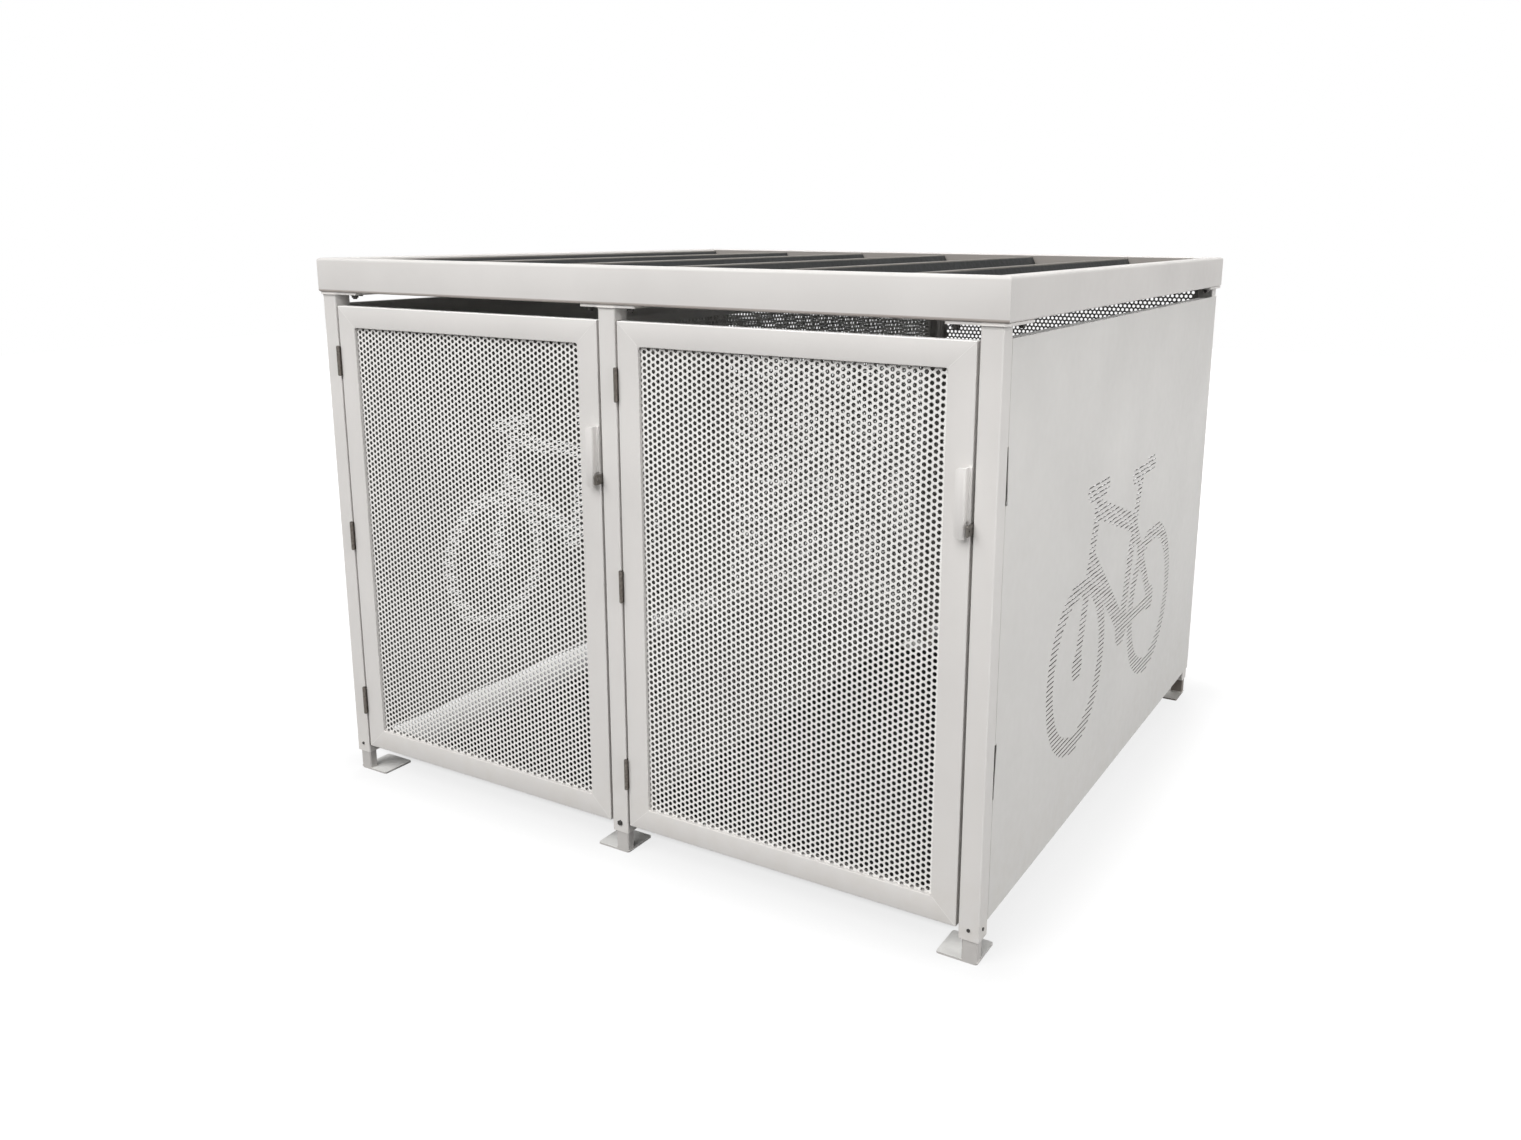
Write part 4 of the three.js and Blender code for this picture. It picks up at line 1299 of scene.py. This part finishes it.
def away_from_locker(tree):
    """How far a point of the floor is from the ground under the locker."""
    low, high = footprint()
    centre, half = (low + high) / 2, (high - low) / 2
    vector = tree.add("ShaderNodeNewGeometry").outputs["Position"]
    steps = (
        ("SUBTRACT", (centre.x, centre.y, 0.0)),
        ("ABSOLUTE", None),
        ("SUBTRACT", (half.x, half.y, half.z)),
        ("MAXIMUM", (0.0, 0.0, 0.0)),
    )
    for operation, by in steps:
        vector = tree.add("ShaderNodeVectorMath", vector, by, operation=operation).outputs[0]
    return tree.add("ShaderNodeVectorMath", vector, operation="LENGTH").outputs["Value"]


def painted_floor_shade(tree):
    """1 on the floor under the locker, where a dark floor stands in as painted shade, and 0 on the open
    floor.
    """
    ground = footprint()
    axes = tree.axes(tree.add("ShaderNodeNewGeometry").outputs["Position"])
    shares = []
    for axis, corner, start, whole in SHADE_EDGES:
        edge = getattr(ground[corner], axis.lower())
        shares.append(tree.soft_ramp(axes[axis], edge + start, edge + whole))
    value = shares[0]
    for share in shares[1:]:
        value = tree.times(value, share)
    return value


def build_floor():
    """A pale floor that shows white to the camera. Its faint soft shadow is partly real shading of a matt
    layer and partly painted: a weaker glow near the locker and a dark floor under it.
    """
    mesh = bpy.data.meshes.new("floor")
    corners = [(x * FLOOR_REACH, y * FLOOR_REACH, 0) for x, y in ((-1, -1), (1, -1), (1, 1), (-1, 1))]
    mesh.from_pydata(corners, [], [(0, 1, 2, 3)])
    floor = new_object("floor", mesh)
    material = bpy.data.materials.new("pale_floor")
    material.use_nodes = True
    mesh.materials.append(material)
    tree = Tree(material.node_tree)
    tree.nodes.clear()

    def matt(level):
        return tree.add("ShaderNodeBsdfDiffuse", (level, level, level, 1)).outputs[0]

    lit, open_level, shaded = 0.14, 0.07, 0.04
    # The glow is weaker near the locker: a painted shadow.
    away = away_from_locker(tree)
    rises = (tree.soft_ramp(away, *FLOOR_NEAR), tree.soft_ramp(away, *FLOOR_FAR))
    level = tree.add("ShaderNodeMath", *rises).outputs[0]
    glow = tree.add("ShaderNodeEmission", None, level).outputs[0]
    bright = tree.add("ShaderNodeAddShader", matt(lit), glow).outputs[0]
    path = tree.add("ShaderNodeLightPath").outputs
    rays = (path["Is Camera Ray"], path["Is Glossy Ray"])
    seen = tree.add("ShaderNodeMath", *rays, operation="MAXIMUM").outputs[0]
    open_floor = tree.blend(seen, matt(open_level), bright)
    # Under the locker the floor turns dark matt for all rays: painted shade.
    tree.add("ShaderNodeOutputMaterial", tree.blend(painted_floor_shade(tree), open_floor, matt(shaded)))


def build_world():
    """Soft light that grows from the horizon to straight above, behind a white backdrop."""
    world = bpy.data.worlds.new("studio")
    bpy.context.scene.world = world
    world.use_nodes = True
    tree = Tree(world.node_tree)
    tree.nodes.clear()
    rise = tree.axes(tree.add("ShaderNodeTexCoord").outputs["Generated"])["Z"]
    level = tree.ramp(rise, 0.0, 1.0, SKY_LOW, SKY_HIGH)
    soft = tree.add("ShaderNodeBackground", (1, 1, 1, 1), level).outputs[0]
    white = tree.add("ShaderNodeBackground", (1, 1, 1, 1), 1.0).outputs[0]
    seen = tree.add("ShaderNodeLightPath").outputs["Is Camera Ray"]
    tree.add("ShaderNodeOutputWorld", tree.blend(seen, soft, white))


def soft_lamp(name, turn, height, softness, strength):
    """A broad far lamp. turn runs from the front towards the right side."""
    light = bpy.data.lights.new(name, "SUN")
    light.energy = strength
    light.angle = math.radians(softness)
    lamp = new_object(name, light)
    turn, height = math.radians(turn), math.radians(height)
    reach = math.cos(height)
    towards = Vector((math.sin(turn) * reach, -math.cos(turn) * reach, math.sin(height)))
    lamp.rotation_mode = "QUATERNION"
    lamp.rotation_quaternion = towards.to_track_quat("Z", "Y")


def build_camera():
    data = bpy.data.cameras.new("photo_view")
    data.lens = CAMERA_LENS
    data.sensor_width = CAMERA_SENSOR
    data.shift_x, data.shift_y = CAMERA_SHIFT
    data.clip_start, data.clip_end = CAMERA_CLIP
    camera = new_object("photo_view", data)
    axes = Matrix((CAMERA_RIGHT, [-c for c in CAMERA_DOWN], [-c for c in CAMERA_FORWARD])).transposed()
    camera.matrix_world = Matrix.Translation(CAMERA_PLACE) @ axes.to_4x4()
    bpy.context.scene.camera = camera


build_floor()
build_world()
for lamp in LAMPS:
    soft_lamp(*lamp)
build_camera()
bpy.context.scene.view_settings.view_transform = "Standard"
